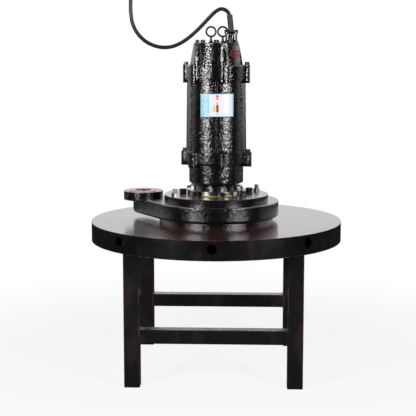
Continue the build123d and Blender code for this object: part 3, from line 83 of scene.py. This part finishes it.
# The cable leaves the boot, loops over to the left, hangs and rises to its hanger.
cable = {
    "radius": 0.0075,
    "length": 0.651,
    "roundness": 6,  # bevel steps
    "steps": 10,  # along each span
    "route": [
        (0.055, -0.020, 1.394), (0.052, -0.020, 1.415), (0.0395, -0.019, 1.4305),
        (0.018, -0.017, 1.437), (-0.004, -0.015, 1.4255), (-0.028, -0.012, 1.4015),
        (-0.066, -0.009, 1.361), (-0.113, -0.006, 1.319), (-0.160, -0.004, 1.292),
        (-0.201, -0.002, 1.2845), (-0.241, -0.001, 1.290), (-0.281, 0.0, 1.3085),
        (-0.3135, 0.0, 1.341), (-0.3325, 0.0, 1.380), (-0.3375, 0.0, 1.420),
        (-0.338, 0.0, 1.458), (-0.3365, 0.0, 1.492), (-0.3345, 0.0, 1.524),
    ],
}


def makeCable():
    curve = bpy.data.curves.new("powerCable", "CURVE")
    curve.dimensions = "3D"
    curve.bevel_depth = 1.0  # the points carry the radius, which keeps the curve's own box true
    curve.bevel_resolution = cable["roundness"]
    curve.resolution_u = cable["steps"]
    curve.use_fill_caps = True
    spline = curve.splines.new("NURBS")
    spline.points.add(len(cable["route"]) - 1)
    for point, place in zip(spline.points, cable["route"]):
        point.co = (*place, 1.0)
        point.radius = cable["radius"]
    spline.order_u = 3  # after the points, or it stays straight
    spline.use_endpoint_u = True
    piece = bpy.data.objects.new("powerCable", curve)
    bpy.context.scene.collection.objects.link(piece)
    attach(piece, "aerator_frame")
    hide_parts("cable")
    return piece


makeCamera()
powerCable = makeCable()
print("camera and cable made")


class Wire:  # an output socket that can be used in sums
    def __init__(self, graph, socket):
        self.graph = graph
        self.socket = socket

    def work(self, kind, *terms):
        return self.graph.node("ShaderNodeMath", {"operation": kind}, dict(enumerate(terms)))

    def __add__(self, other):
        return self.work("ADD", self, other)

    def __sub__(self, other):
        return self.work("SUBTRACT", self, other)

    def __rsub__(self, other):
        return self.work("SUBTRACT", other, self)

    def __mul__(self, other):
        return self.work("MULTIPLY", self, other)

    def __truediv__(self, other):
        return self.work("DIVIDE", self, other)

    def __rtruediv__(self, other):
        return self.work("DIVIDE", other, self)

    def __pow__(self, other):
        return self.work("POWER", self, other)

    def __gt__(self, other):
        return self.work("GREATER_THAN", self, other)

    def __lt__(self, other):
        return self.work("LESS_THAN", self, other)

    def __abs__(self):
        return self.work("ABSOLUTE", self)

    __radd__ = __add__
    __rmul__ = __mul__


class Graph:  # the node tree of one material, or of the world
    def __init__(self, owner):
        self.material = bpy.data.materials.new(owner) if isinstance(owner, str) else owner
        self.material.use_nodes = True
        self.tree = self.material.node_tree
        self.tree.nodes.clear()
        place = self.tree.nodes.new("ShaderNodeTexCoord")
        self.place = Wire(self, place.outputs["Object"])

    def node(self, kind, settings=None, sockets=None, output=0):
        made = self.tree.nodes.new(kind)
        for key, value in (settings or {}).items():
            if key == "stops":
                for index, (stop, shade) in enumerate(value):
                    if index > 1:
                        made.color_ramp.elements.new(stop)
                    made.color_ramp.elements[index].position = stop
                    made.color_ramp.elements[index].color = (*shade, 1.0)
            else:
                setattr(made, key, value)
        for key, value in (sockets or {}).items():
            if isinstance(value, Wire):
                self.tree.links.new(value.socket, made.inputs[key])
            else:
                made.inputs[key].default_value = value
        return Wire(self, made.outputs[output]) if made.outputs else None

    def axes(self):
        split = self.node("ShaderNodeSeparateXYZ", None, {0: self.place})
        outputs = split.socket.node.outputs
        return [Wire(self, outputs[index]) for index in range(3)]

    def noise(self, scale, detail=3.0, rough=0.5, stretch=(1, 1, 1)):
        spot = self.place
        if stretch != (1, 1, 1):
            spot = self.node("ShaderNodeVectorMath", {"operation": "MULTIPLY"},
                             {0: spot, 1: stretch})
        return self.node("ShaderNodeTexNoise", None,
                         {"Vector": spot, "Scale": scale, "Detail": detail, "Roughness": rough})

    def step(self, value, low, high):  # rises smoothly from 0 at low to 1 at high
        return self.node("ShaderNodeMapRange", {"interpolation_type": "SMOOTHSTEP"},
                         {"Value": value, "From Min": low, "From Max": high})

    def patches(self, scale, detail, low, high, stretch=(1, 1, 1)):  # soft-edged spots of noise
        return self.step(self.noise(scale, detail, stretch=stretch), low, high)

    def uneven(self, base, spread, scale, detail):  # a value that wanders upward from its base
        return base + spread * self.noise(scale, detail)

    def blend(self, share, first, second):  # mixes two colours
        return self.node("ShaderNodeMix", {"data_type": "RGBA"},
                         {"Factor": share, 6: self.shade(first), 7: self.shade(second)}, output=2)

    def shade(self, value):
        return value if isinstance(value, Wire) else (*value, 1.0)

    def bump(self, height, distance, strength=1.0, below=None):
        sockets = {"Height": height, "Distance": distance, "Strength": strength}
        if below is not None:
            sockets["Normal"] = below
        return self.node("ShaderNodeBump", None, sockets)

    def close(self, **sockets):
        named = {key.replace("_", " "): value for key, value in sockets.items()}
        if isinstance(named.get("Base Color"), tuple):
            named["Base Color"] = (*named["Base Color"], 1.0)
        shader = self.node("ShaderNodeBsdfPrincipled", None, named)
        self.node("ShaderNodeOutputMaterial", None, {"Surface": shader})
        return self.material


# In each look below, patches are (scale, detail, low, high), grains are (scale, detail), and rough
# is (base, spread, scale, detail). Lengths are in metres.

# Castings: thick gloss black over a rough cast skin, and pink primer on the bare inlet face
castingLook = {
    "black": (0.0026, 0.0024, 0.0024), "brown": (0.0060, 0.0042, 0.0038), "tint": (14, 4.0, 0.45, 0.7),
    "lump": (55, 2.0), "lumpDepth": 0.0011, "peel": (150, 2.0), "peelDepth": 0.0016,
    "rough": (0.09, 0.14, 38, 4.0), "paintIndex": 1.8,
    "primer": (0.50, 0.20, 0.34), "primed": (26, 4.0, 0.30, 0.42), "primedRough": 0.12,
    "faceLevel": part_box("air_chamber")[1].z - 0.0025,
}


def castingFinish(name, primed):
    look, graph = castingLook, Graph(name)
    colour = graph.blend(graph.patches(*look["tint"]), look["black"], look["brown"])
    rough = graph.uneven(*look["rough"])
    relief = graph.bump(graph.noise(*look["lump"]), look["lumpDepth"])
    relief = graph.bump(graph.noise(*look["peel"]), look["peelDepth"], below=relief)
    if primed:
        x, y, z = graph.axes()
        face = (z > look["faceLevel"]) * graph.patches(*look["primed"])
        colour = graph.blend(face, colour, look["primer"])
        rough = rough + look["primedRough"] * face
    return graph.close(Base_Color=colour, Roughness=rough, Normal=relief, IOR=look["paintIndex"])


# Mixing disc: brown-black paint, worn along its edges, smeared on its rim
discLook = {
    "brown": (0.070, 0.027, 0.027), "black": (0.030, 0.014, 0.014), "tone": (5, 3.0, 0.35, 0.7),
    "rim": (0.0040, 0.0034, 0.0032), "smear": (0.016, 0.011, 0.010),
    "smears": (26, 5.0, 0.52, 0.70, (1, 1, 0.6)),
    "primer": (0.16, 0.075, 0.060), "worn": (70, 4.0, 0.42, 0.62),
    "edge": (0.0026, 0.0006), "edgeReach": 0.0015, "skin": 0.0005,
    "dents": (22, 2.0), "dentDepth": 0.0004, "dentShare": 0.6,
    "grain": (420, 2.0), "grainDepth": 0.00008,
    "rough": (0.16, 0.12, 30, 3.0), "topSmoother": 0.05, "paintIndex": 1.6,
    "top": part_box("disc_top_plate")[1].z, "bottom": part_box("disc_bottom_plate")[0].z,
    "radius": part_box("disc_top_plate")[1].x,
}


def discFinish():
    look, graph = discLook, Graph("discPaint")
    x, y, z = graph.axes()
    reach = (x * x + y * y) ** 0.5
    nearTop = graph.step(abs(z - look["top"]), *look["edge"])
    nearFoot = graph.step(abs(z - look["bottom"]), *look["edge"])
    outside = reach > look["radius"] - look["edgeReach"]
    edge = (nearTop + nearFoot) * outside * graph.patches(*look["worn"])
    onTop = z > look["top"] - look["skin"]
    top = graph.blend(graph.patches(*look["tone"]), look["brown"], look["black"])
    side = graph.blend(graph.patches(*look["smears"]), look["rim"], look["smear"])
    paint = graph.blend(onTop, side, top)
    relief = graph.bump(graph.noise(*look["dents"]), look["dentDepth"], look["dentShare"])
    relief = graph.bump(graph.noise(*look["grain"]), look["grainDepth"], below=relief)
    rough = graph.uneven(*look["rough"]) - look["topSmoother"] * onTop
    return graph.close(Base_Color=graph.blend(edge, paint, look["primer"]), Roughness=rough,
                       Normal=relief, IOR=look["paintIndex"])


# Stand: thin black paint with grey-brown scuffs, and primer showing along the legs' corners
legSide = 0.060
standLook = {
    "scuff": (0.020, 0.015, 0.014), "dark": (0.0070, 0.0062, 0.0060),
    "tone": (13, 5.0, 0.50, 0.72, (1, 1, 0.5)),
    "primer": (0.085, 0.036, 0.028), "worn": (45, 4.0, 0.47, 0.60, (1, 1, 0.25)),
    "cornerInside": 0.0042, "cornerOutside": 0.0026, "skin": 0.0005,
    "grain": (240, 2.0), "grainDepth": 0.00018,
    "dents": (30, 2.0), "dentDepth": 0.0005, "dentShare": 0.5,
    "rough": (0.18, 0.24, 26, 4.0),
    "centre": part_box("stand_legs")[1].x - legSide / 2, "half": legSide / 2,
}


def standFinish():
    look, graph = standLook, Graph("standPaint")
    x, y, z = graph.axes()
    across = abs(abs(x) - look["centre"])
    along = abs(abs(y) - look["centre"])
    corner = graph.node("ShaderNodeMath", {"operation": "MINIMUM"}, {0: across, 1: along})
    nearCorner = graph.step(corner, look["half"] - look["cornerInside"],
                            look["half"] - look["cornerOutside"])
    onLeg = (across < look["half"] + look["skin"]) * (along < look["half"] + look["skin"])
    edge = nearCorner * graph.patches(*look["worn"]) * onLeg
    paint = graph.blend(graph.patches(*look["tone"]), look["dark"], look["scuff"])
    relief = graph.bump(graph.noise(*look["grain"]), look["grainDepth"])
    relief = graph.bump(graph.noise(*look["dents"]), look["dentDepth"], look["dentShare"], below=relief)
    return graph.close(Base_Color=graph.blend(edge, paint, look["primer"]),
                       Roughness=graph.uneven(*look["rough"]), Normal=relief)


# Cover plate: pink primer on top under patches of black, black and glossy on its rim
coverLook = {
    "primer": (0.30, 0.15, 0.18), "black": (0.0045, 0.0038, 0.0038), "bare": (9, 5.0, 0.50, 0.58),
    "skin": 0.0003, "grain": (170, 3.0), "grainDepth": 0.0008,
    "rough": (0.14, 0.12, 34, 3.0), "paintIndex": 1.6,
    "top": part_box("cover_plate")[1].z, "radius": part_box("cover_plate")[1].x - 0.0025,
}


def coverFinish():
    look, graph = coverLook, Graph("coverPrimer")
    x, y, z = graph.axes()
    reach = (x * x + y * y) ** 0.5
    onTop = (z > look["top"] - look["skin"]) * (reach < look["radius"])
    colour = graph.blend(graph.patches(*look["bare"]) * onTop, look["black"], look["primer"])
    return graph.close(Base_Color=colour, Roughness=graph.uneven(*look["rough"]),
                       Normal=graph.bump(graph.noise(*look["grain"]), look["grainDepth"]),
                       IOR=look["paintIndex"])


# Studs and nuts: zinc plated, with threads above the nuts
studLook = {
    "light": (0.40, 0.37, 0.37), "dark": (0.16, 0.14, 0.14), "tone": (90, 4.0, 0.38, 0.66),
    "nutHigh": 0.0133, "pitch": 0.002, "threadDepth": 0.0005, "grain": (700, 3.0), "grainDepth": 0.00008,
    "metal": 0.95, "rough": (0.20, 0.22, 120, 3.0),
}


def studFinish(name, seat):
    look, graph = studLook, Graph(name)
    x, y, z = graph.axes()
    turns = graph.node("ShaderNodeMath", {"operation": "PINGPONG"}, {0: z, 1: look["pitch"] / 2})
    threads = turns * (z > seat + look["nutHigh"]) * (1 / look["pitch"])
    relief = graph.bump(graph.noise(*look["grain"]), look["grainDepth"])
    relief = graph.bump(threads, look["threadDepth"], below=relief)
    return graph.close(Base_Color=graph.blend(graph.patches(*look["tone"]), look["light"], look["dark"]),
                       Metallic=look["metal"], Roughness=graph.uneven(*look["rough"]), Normal=relief)


# The other finishes differ in their values alone
plainPatches = {"detail": 4.0, "low": 0.35, "high": 0.68, "fine": 3.0, "roughTimes": 2.2}


def plainFinish(name, light, dark, rough, spread, metal, grain, depth, tone, stretch=(1, 1, 1)):
    look, graph = plainPatches, Graph(name)
    share = graph.patches(tone, look["detail"], look["low"], look["high"])
    relief = graph.bump(graph.noise(grain, look["fine"], stretch=stretch), depth)
    return graph.close(Base_Color=graph.blend(share, light, dark), Metallic=metal, Normal=relief,
                       Roughness=graph.uneven(rough, spread, look["roughTimes"] * tone, look["fine"]))


plainLooks = {
    "boltBlack": dict(light=(0.005, 0.005, 0.005), dark=(0.012, 0.010, 0.010), rough=0.14, spread=0.18,
                      metal=0.0, grain=330, depth=0.0004, tone=60),
    "boltZinc": dict(light=(0.62, 0.58, 0.57), dark=(0.42, 0.37, 0.36), rough=0.26, spread=0.25,
                     metal=0.9, grain=700, depth=0.00006, tone=90),
    "steelMachined": dict(light=(0.34, 0.33, 0.33), dark=(0.16, 0.155, 0.15), rough=0.16, spread=0.16,
                          metal=1.0, grain=2200, depth=0.00003, stretch=(0.15, 0.15, 1), tone=30),
    "spacerYellow": dict(light=(0.66, 0.60, 0.06), dark=(0.42, 0.37, 0.04), rough=0.36, spread=0.2,
                         metal=0.0, grain=600, depth=0.00006, tone=40),
    "shaftSteel": dict(light=(0.60, 0.60, 0.61), dark=(0.46, 0.46, 0.47), rough=0.14, spread=0.14,
                       metal=1.0, grain=1800, depth=0.00002, stretch=(0.15, 0.15, 1), tone=40),
    "bearingSteel": dict(light=(0.66, 0.66, 0.67), dark=(0.55, 0.55, 0.56), rough=0.08, spread=0.10,
                         metal=1.0, grain=1500, depth=0.00001, tone=50),
    "coreSteel": dict(light=(0.22, 0.22, 0.23), dark=(0.12, 0.12, 0.13), rough=0.38, spread=0.2,
                      metal=0.9, grain=1600, depth=0.0001, stretch=(0.02, 0.02, 1), tone=30),
    "copperWinding": dict(light=(0.55, 0.19, 0.07), dark=(0.28, 0.08, 0.03), rough=0.28, spread=0.2,
                          metal=0.85, grain=420, depth=0.0006, stretch=(1, 1, 3), tone=40),
    "rotorAluminium": dict(light=(0.58, 0.58, 0.59), dark=(0.42, 0.42, 0.43), rough=0.34, spread=0.2,
                           metal=1.0, grain=300, depth=0.0001, tone=30),
    "impellerIron": dict(light=(0.045, 0.042, 0.040), dark=(0.085, 0.060, 0.050), rough=0.42, spread=0.25,
                         metal=0.3, grain=240, depth=0.0004, tone=26),
    "sealCarbide": dict(light=(0.035, 0.035, 0.037), dark=(0.055, 0.055, 0.058), rough=0.10, spread=0.1,
                        metal=0.0, grain=1400, depth=0.00002, tone=50),
    "sealRubber": dict(light=(0.012, 0.012, 0.012), dark=(0.020, 0.020, 0.020), rough=0.55, spread=0.2,
                       metal=0.0, grain=900, depth=0.00005, tone=60),
    "terminalPlastic": dict(light=(0.030, 0.026, 0.022), dark=(0.050, 0.042, 0.034), rough=0.40,
                            spread=0.15, metal=0.0, grain=700, depth=0.00006, tone=50),
    "bootRubber": dict(light=(0.010, 0.010, 0.010), dark=(0.018, 0.017, 0.017), rough=0.36, spread=0.2,
                       metal=0.0, grain=900, depth=0.00008, tone=60),
    "cableRubber": dict(light=(0.010, 0.008, 0.007), dark=(0.020, 0.015, 0.013), rough=0.26, spread=0.18,
                        metal=0.0, grain=700, depth=0.00008, tone=50),
}

# The rating plate: white with a wide blue band, a thin blue border and plain blocks of colour
signRed = (0.62, 0.02, 0.03)
ratingLook = {
    "white": (0.86, 0.87, 0.88), "band": (0.25, 0.62, 0.82), "pale": (0.50, 0.80, 0.90),
    "low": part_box("rating_plate")[0].z, "high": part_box("rating_plate")[1].z, "left": -29.0, "arc": 65.0,
    "inside": (0.025, 0.965, 0.03, 0.97), "bandEnd": 0.27, "cloud": (150, 3.0, 0.40, 0.62),
    "rough": (0.28, 0.12, 60, 3.0), "grain": (160, 2.0), "grainDepth": 0.0001,
    "blocks": [((0.47, 0.54, 0.20, 0.53), signRed),
               ((0.47, 0.54, 0.86, 0.93), signRed),
               ((0.475, 0.535, 0.76, 0.82), signRed),
               ((0.47, 0.53, 0.57, 0.61), (0.70, 0.22, 0.22)),
               ((0.48, 0.52, 0.11, 0.15), (0.30, 0.55, 0.60)),
               ((0.415, 0.445, 0.22, 0.50), (0.45, 0.70, 0.12)),
               ((0.37, 0.40, 0.22, 0.42), (0.62, 0.78, 0.30)),
               ((0.325, 0.355, 0.22, 0.34), (0.78, 0.82, 0.52))],
}


def between(value, low, high):
    return (value > low) * (value < high)


def within(across, up, left, right, low, high):
    return between(across, left, right) * between(up, low, high)


def onPlate(graph, look):  # how far across and how far up a plate that follows the round casting
    x, y, z = graph.axes()
    turn = graph.node("ShaderNodeMath", {"operation": "ARCTAN2"}, {0: x, 1: y * -1.0})
    across = (turn * (180 / math.pi) - look["left"]) / look["arc"]
    return across, (z - look["low"]) / (look["high"] - look["low"])


def ratingFinish():
    look, graph = ratingLook, Graph("plateWhite")
    across, up = onPlate(graph, look)
    colour = graph.blend(within(across, up, *look["inside"]), look["band"], look["white"])
    blue = graph.blend(graph.patches(*look["cloud"]), look["band"], look["pale"])
    colour = graph.blend(between(across, 0.0, look["bandEnd"]), colour, blue)
    for edges, shade in look["blocks"]:
        colour = graph.blend(within(across, up, *edges), colour, shade)
    return graph.close(Base_Color=colour, Roughness=graph.uneven(*look["rough"]),
                       Normal=graph.bump(graph.noise(*look["grain"]), look["grainDepth"]))


# The arrow plate: a red turning arrow in a red frame, on black
arrowLook = {
    "red": (0.34, 0.010, 0.012), "black": (0.010, 0.007, 0.007),
    "low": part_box("arrow_plate")[0].z, "high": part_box("arrow_plate")[1].z, "left": 37.0, "arc": 30.0,
    "frame": 0.11, "frameAcross": 0.077, "shaft": (0.38, 0.80), "shaftHalf": 0.10,
    "head": (0.18, 0.40), "headSlope": 1.25,
    "rough": (0.30, 0.12, 60, 3.0), "grain": (160, 2.0), "grainDepth": 0.0001,
}


def arrowFinish():
    look, graph = arrowLook, Graph("plateRed")
    across, up = onPlate(graph, look)
    side, edge, tip = look["frameAcross"], look["frame"], look["head"][0]
    offMiddle = abs(up - 0.5)
    shaft = between(across, *look["shaft"]) * (offMiddle < look["shaftHalf"])
    head = between(across, *look["head"]) * (offMiddle < (across - tip) * look["headSlope"])
    frame = 1 - within(across, up, side, 1 - side, edge, 1 - edge)
    mark = graph.node("ShaderNodeMath", {"operation": "MAXIMUM"}, {0: shaft, 1: head})
    mark = graph.node("ShaderNodeMath", {"operation": "MAXIMUM"}, {0: mark, 1: frame})
    return graph.close(Base_Color=graph.blend(mark, look["black"], look["red"]),
                       Roughness=graph.uneven(*look["rough"]),
                       Normal=graph.bump(graph.noise(*look["grain"]), look["grainDepth"]))


def makeFinishes():
    made = {
        "castingBlack": castingFinish("castingBlack", primed=False),
        "chamberBlack": castingFinish("chamberBlack", primed=True),
        "discPaint": discFinish(),
        "standPaint": standFinish(),
        "coverStuds": studFinish("coverStuds", seat=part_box("cover_plate")[1].z),
        "adapterStuds": studFinish("adapterStuds", seat=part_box("oil_chamber")[0].z),
        "coverPrimer": coverFinish(),
        "plateWhite": ratingFinish(),
        "plateRed": arrowFinish(),
    }
    for name, look in plainLooks.items():
        made[name] = plainFinish(name, **look)
    return made


finishes = makeFinishes()
print("finishes made:", len(finishes))

# Which finish each node wears
wear = {
    "standPaint": ["stand_legs", "stand_crossbars"],
    "discPaint": ["disc_bottom_plate", "disc_top_plate", "disc_rim", "diffuser_vanes", "suction_cover"],
    "chamberBlack": ["air_chamber"],
    "castingBlack": ["oil_chamber", "bearing_bracket", "bearing_cap", "motor_casing", "top_cover",
                     "terminal_lid", "cable_gland", "gland_clamp", "air_guide"],
    "coverPrimer": ["cover_plate"],
    "boltBlack": ["suction_fasteners", "chamber_bolts", "guide_bolts", "lower_flange_bolts", "oil_plug",
                  "upper_flange_bolts", "bearing_cap_screws", "gland_bolts", "adapter_screws",
                  "lid_screws", "lifting_eyes"],
    "coverStuds": ["cover_studs_and_nuts"],
    "adapterStuds": ["adapter_studs_and_nuts"],
    "boltZinc": ["cable_hanger", "impeller_nut"],
    "steelMachined": ["adapter_flange", "suction_strainer"],
    "spacerYellow": ["spacer_ring"],
    "shaftSteel": ["rotor_shaft", "impeller_key", "seal_spring"],
    "bearingSteel": ["lower_bearing_outer_race", "lower_bearing_inner_race", "lower_bearing_balls",
                     "upper_bearing_outer_race", "upper_bearing_inner_race", "upper_bearing_balls",
                     "lower_bearing_cage", "upper_bearing_cage"],
    "coreSteel": ["stator_core", "rotor_core"],
    "copperWinding": ["stator_windings"],
    "rotorAluminium": ["rotor_end_rings"],
    "impellerIron": ["impeller"],
    "sealCarbide": ["seal_seats", "seal_rings"],
    "sealRubber": ["casing_seal_rings"],
    "terminalPlastic": ["terminal_block"],
    "plateWhite": ["rating_plate"],
    "plateRed": ["arrow_plate"],
    "bootRubber": ["cable_boot"],
    "cableRubber": ["cable"],
}


def dressNodes():
    for finish, names in wear.items():
        for name in names:
            mesh = nodes[name].data
            mesh.materials.clear()
            mesh.materials.append(finishes[finish])


dressNodes()
powerCable.data.materials.append(finishes["cableRubber"])
print("nodes dressed:", sum(len(names) for names in wear.values()), "of", len(nodes))


# Welds of the stand: beads round the tops of the legs and the ends of the bars
weld = {
    "radius": 0.0032, "sides": 8, "ripple": 0.0042, "perRipple": 3, "fewest": 4,
    "low": 0.72, "swell": 0.28, "uneven": 0.05, "end": 0.35,
}


def addBead(shape, points):
    path = [Vector(point) for point in points]
    lengths = [(after - before).length for before, after in zip(path, path[1:])]
    total = sum(lengths)
    steps = max(weld["fewest"], int(total / (weld["ripple"] / weld["perRipple"])))
    rings = []
    for step in range(steps + 1):
        left = total * step / steps
        index = 0
        while index < len(lengths) - 1 and left > lengths[index]:
            left -= lengths[index]
            index += 1
        along = (path[index + 1] - path[index]).normalized()
        centre = path[index] + along * left
        side = along.orthogonal().normalized()
        other = along.cross(side)
        swell = weld["low"] + weld["swell"] * abs(math.sin(math.pi * step / weld["perRipple"]))
        swell += random.uniform(-weld["uneven"], weld["uneven"])
        if step in (0, steps):
            swell *= weld["end"]
        ring = []
        for turn in range(weld["sides"]):
            angle = 2 * math.pi * turn / weld["sides"]
            out = side * math.cos(angle) + other * math.sin(angle)
            ring.append(shape.verts.new(centre + out * weld["radius"] * swell))
        rings.append(ring)
    for before, after in zip(rings, rings[1:]):
        for turn in range(weld["sides"]):
            following = (turn + 1) % weld["sides"]
            shape.faces.new((before[turn], before[following], after[following], after[turn]))
    shape.faces.new(rings[0][::-1])
    shape.faces.new(rings[-1])


def finishMesh(name, shape, finish):
    bmesh.ops.recalc_face_normals(shape, faces=shape.faces)
    mesh = bpy.data.meshes.new(name)
    shape.to_mesh(mesh)
    shape.free()
    for face in mesh.polygons:
        face.use_smooth = True
    mesh.materials.append(finishes[finish])
    piece = bpy.data.objects.new(name, mesh)
    bpy.context.scene.collection.objects.link(piece)
    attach(piece, "aerator_frame")


def makeWelds():
    shape = bmesh.new()
    half, side, top = standLook["centre"], standLook["half"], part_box("stand_legs")[1].z
    barLow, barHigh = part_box("stand_crossbars")[0].z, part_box("stand_crossbars")[1].z
    reach = (barHigh - barLow) / 2
    for x in (-half, half):
        for y in (-half, half):
            corners = [(x - side, y - side, top), (x + side, y - side, top),
                       (x + side, y + side, top), (x - side, y + side, top)]
            for start, end in zip(corners, corners[1:] + corners[:1]):
                addBead(shape, [start, end])
            face = x - side if x > 0 else x + side
            ends = [(face, y - reach, barLow), (face, y - reach, barHigh),
                    (face, y + reach, barHigh), (face, y + reach, barLow)]
            for start, end in zip(ends, ends[1:] + ends[:1]):
                addBead(shape, [start, end])
    finishMesh("standWelds", shape, "standPaint")


makeWelds()
print("welds made")


# Studio: two tall softboxes, a bright sky behind the object and a white floor
studio = {
    "turn": 1.8,  # degrees from straight ahead to the camera
    "apart": 39.0, "lampDistance": 3.4, "lampHeight": 1.6, "lampWide": 0.5, "lampTall": 1.5,
    "power": 74.0, "aim": (0, 0, 0.85),
    "fill": 0.09, "glossy": 0.02, "sky": 1.35, "skySide": (0.02, -0.22), "skyLow": (-0.16, 0.13),
    "floorRadius": 9.0, "floorCorners": 96, "floorLevel": -0.0005,
    "floorDim": 0.10, "floorPlain": 0.85, "glow": 0.87, "glowFrom": 0.7, "glowTo": 2.0,
}


def makeLamp(name, angle):
    data = bpy.data.lights.new(name, "AREA")
    data.shape = "RECTANGLE"
    data.size = studio["lampWide"]
    data.size_y = studio["lampTall"]
    data.energy = studio["power"]
    lamp = bpy.data.objects.new(name, data)
    turn, distance = math.radians(angle), studio["lampDistance"]
    lamp.location = (distance * math.sin(turn), -distance * math.cos(turn), studio["lampHeight"])
    aim = Vector(studio["aim"]) - lamp.location
    lamp.rotation_euler = aim.to_track_quat("-Z", "Y").to_euler()
    bpy.context.scene.collection.objects.link(lamp)


def rays(graph, kind):
    return graph.node("ShaderNodeLightPath", None, None, output=kind)


def makeWorld():
    world = bpy.data.worlds.new("studio")
    bpy.context.scene.world = world
    graph = Graph(world)
    way = graph.node("ShaderNodeTexCoord", None, None, output="Generated")
    turn = math.radians(studio["turn"])
    toCamera = (math.sin(turn), -math.cos(turn), 0.0)
    facing = graph.node("ShaderNodeVectorMath", {"operation": "DOT_PRODUCT"},
                        {0: way, 1: toCamera}, output="Value")
    height = graph.node("ShaderNodeSeparateXYZ", None, {0: way}, output="Z")
    behind = graph.step(facing, *studio["skySide"]) * graph.step(height, *studio["skyLow"])
    shown = rays(graph, "Is Camera Ray") + rays(graph, "Is Transmission Ray")
    mirrored = studio["sky"] * behind + studio["glossy"] - studio["fill"]
    level = studio["fill"] + rays(graph, "Is Glossy Ray") * mirrored
    level = level * (1 - shown) + shown
    light = graph.node("ShaderNodeBackground", None, {"Color": (1, 1, 1, 1), "Strength": level})
    graph.node("ShaderNodeOutputWorld", None, {"Surface": light})


def diffuse(graph, grey):
    return graph.node("ShaderNodeBsdfDiffuse", None, {"Color": (grey, grey, grey, 1)})


def makeFloor():
    bpy.ops.mesh.primitive_circle_add(vertices=studio["floorCorners"], radius=studio["floorRadius"],
                                      fill_type="NGON", location=(0, 0, studio["floorLevel"]))
    floor = bpy.context.object
    floor.name = "studioFloor"
    graph = Graph("floorWhite")
    x, y, z = graph.axes()
    away = graph.step((x * x + y * y) ** 0.5, studio["glowFrom"], studio["glowTo"])
    share = studio["glow"] + (1 - studio["glow"]) * away
    glow = graph.node("ShaderNodeEmission", None, {"Color": (1, 1, 1, 1), "Strength": 1.0})
    white = graph.node("ShaderNodeMixShader", None,
                       {0: share, 1: diffuse(graph, studio["floorPlain"]), 2: glow})
    mixed = graph.node("ShaderNodeMixShader", None,
                       {0: rays(graph, "Is Camera Ray"), 1: diffuse(graph, studio["floorDim"]), 2: white})
    graph.node("ShaderNodeOutputMaterial", None, {"Surface": mixed})
    floor.data.materials.append(graph.material)


makeLamp("softboxRight", studio["turn"] + studio["apart"])
makeLamp("softboxLeft", studio["turn"] - studio["apart"])
makeWorld()
makeFloor()
bpy.context.scene.view_settings.view_transform = "Standard"
print("studio made")
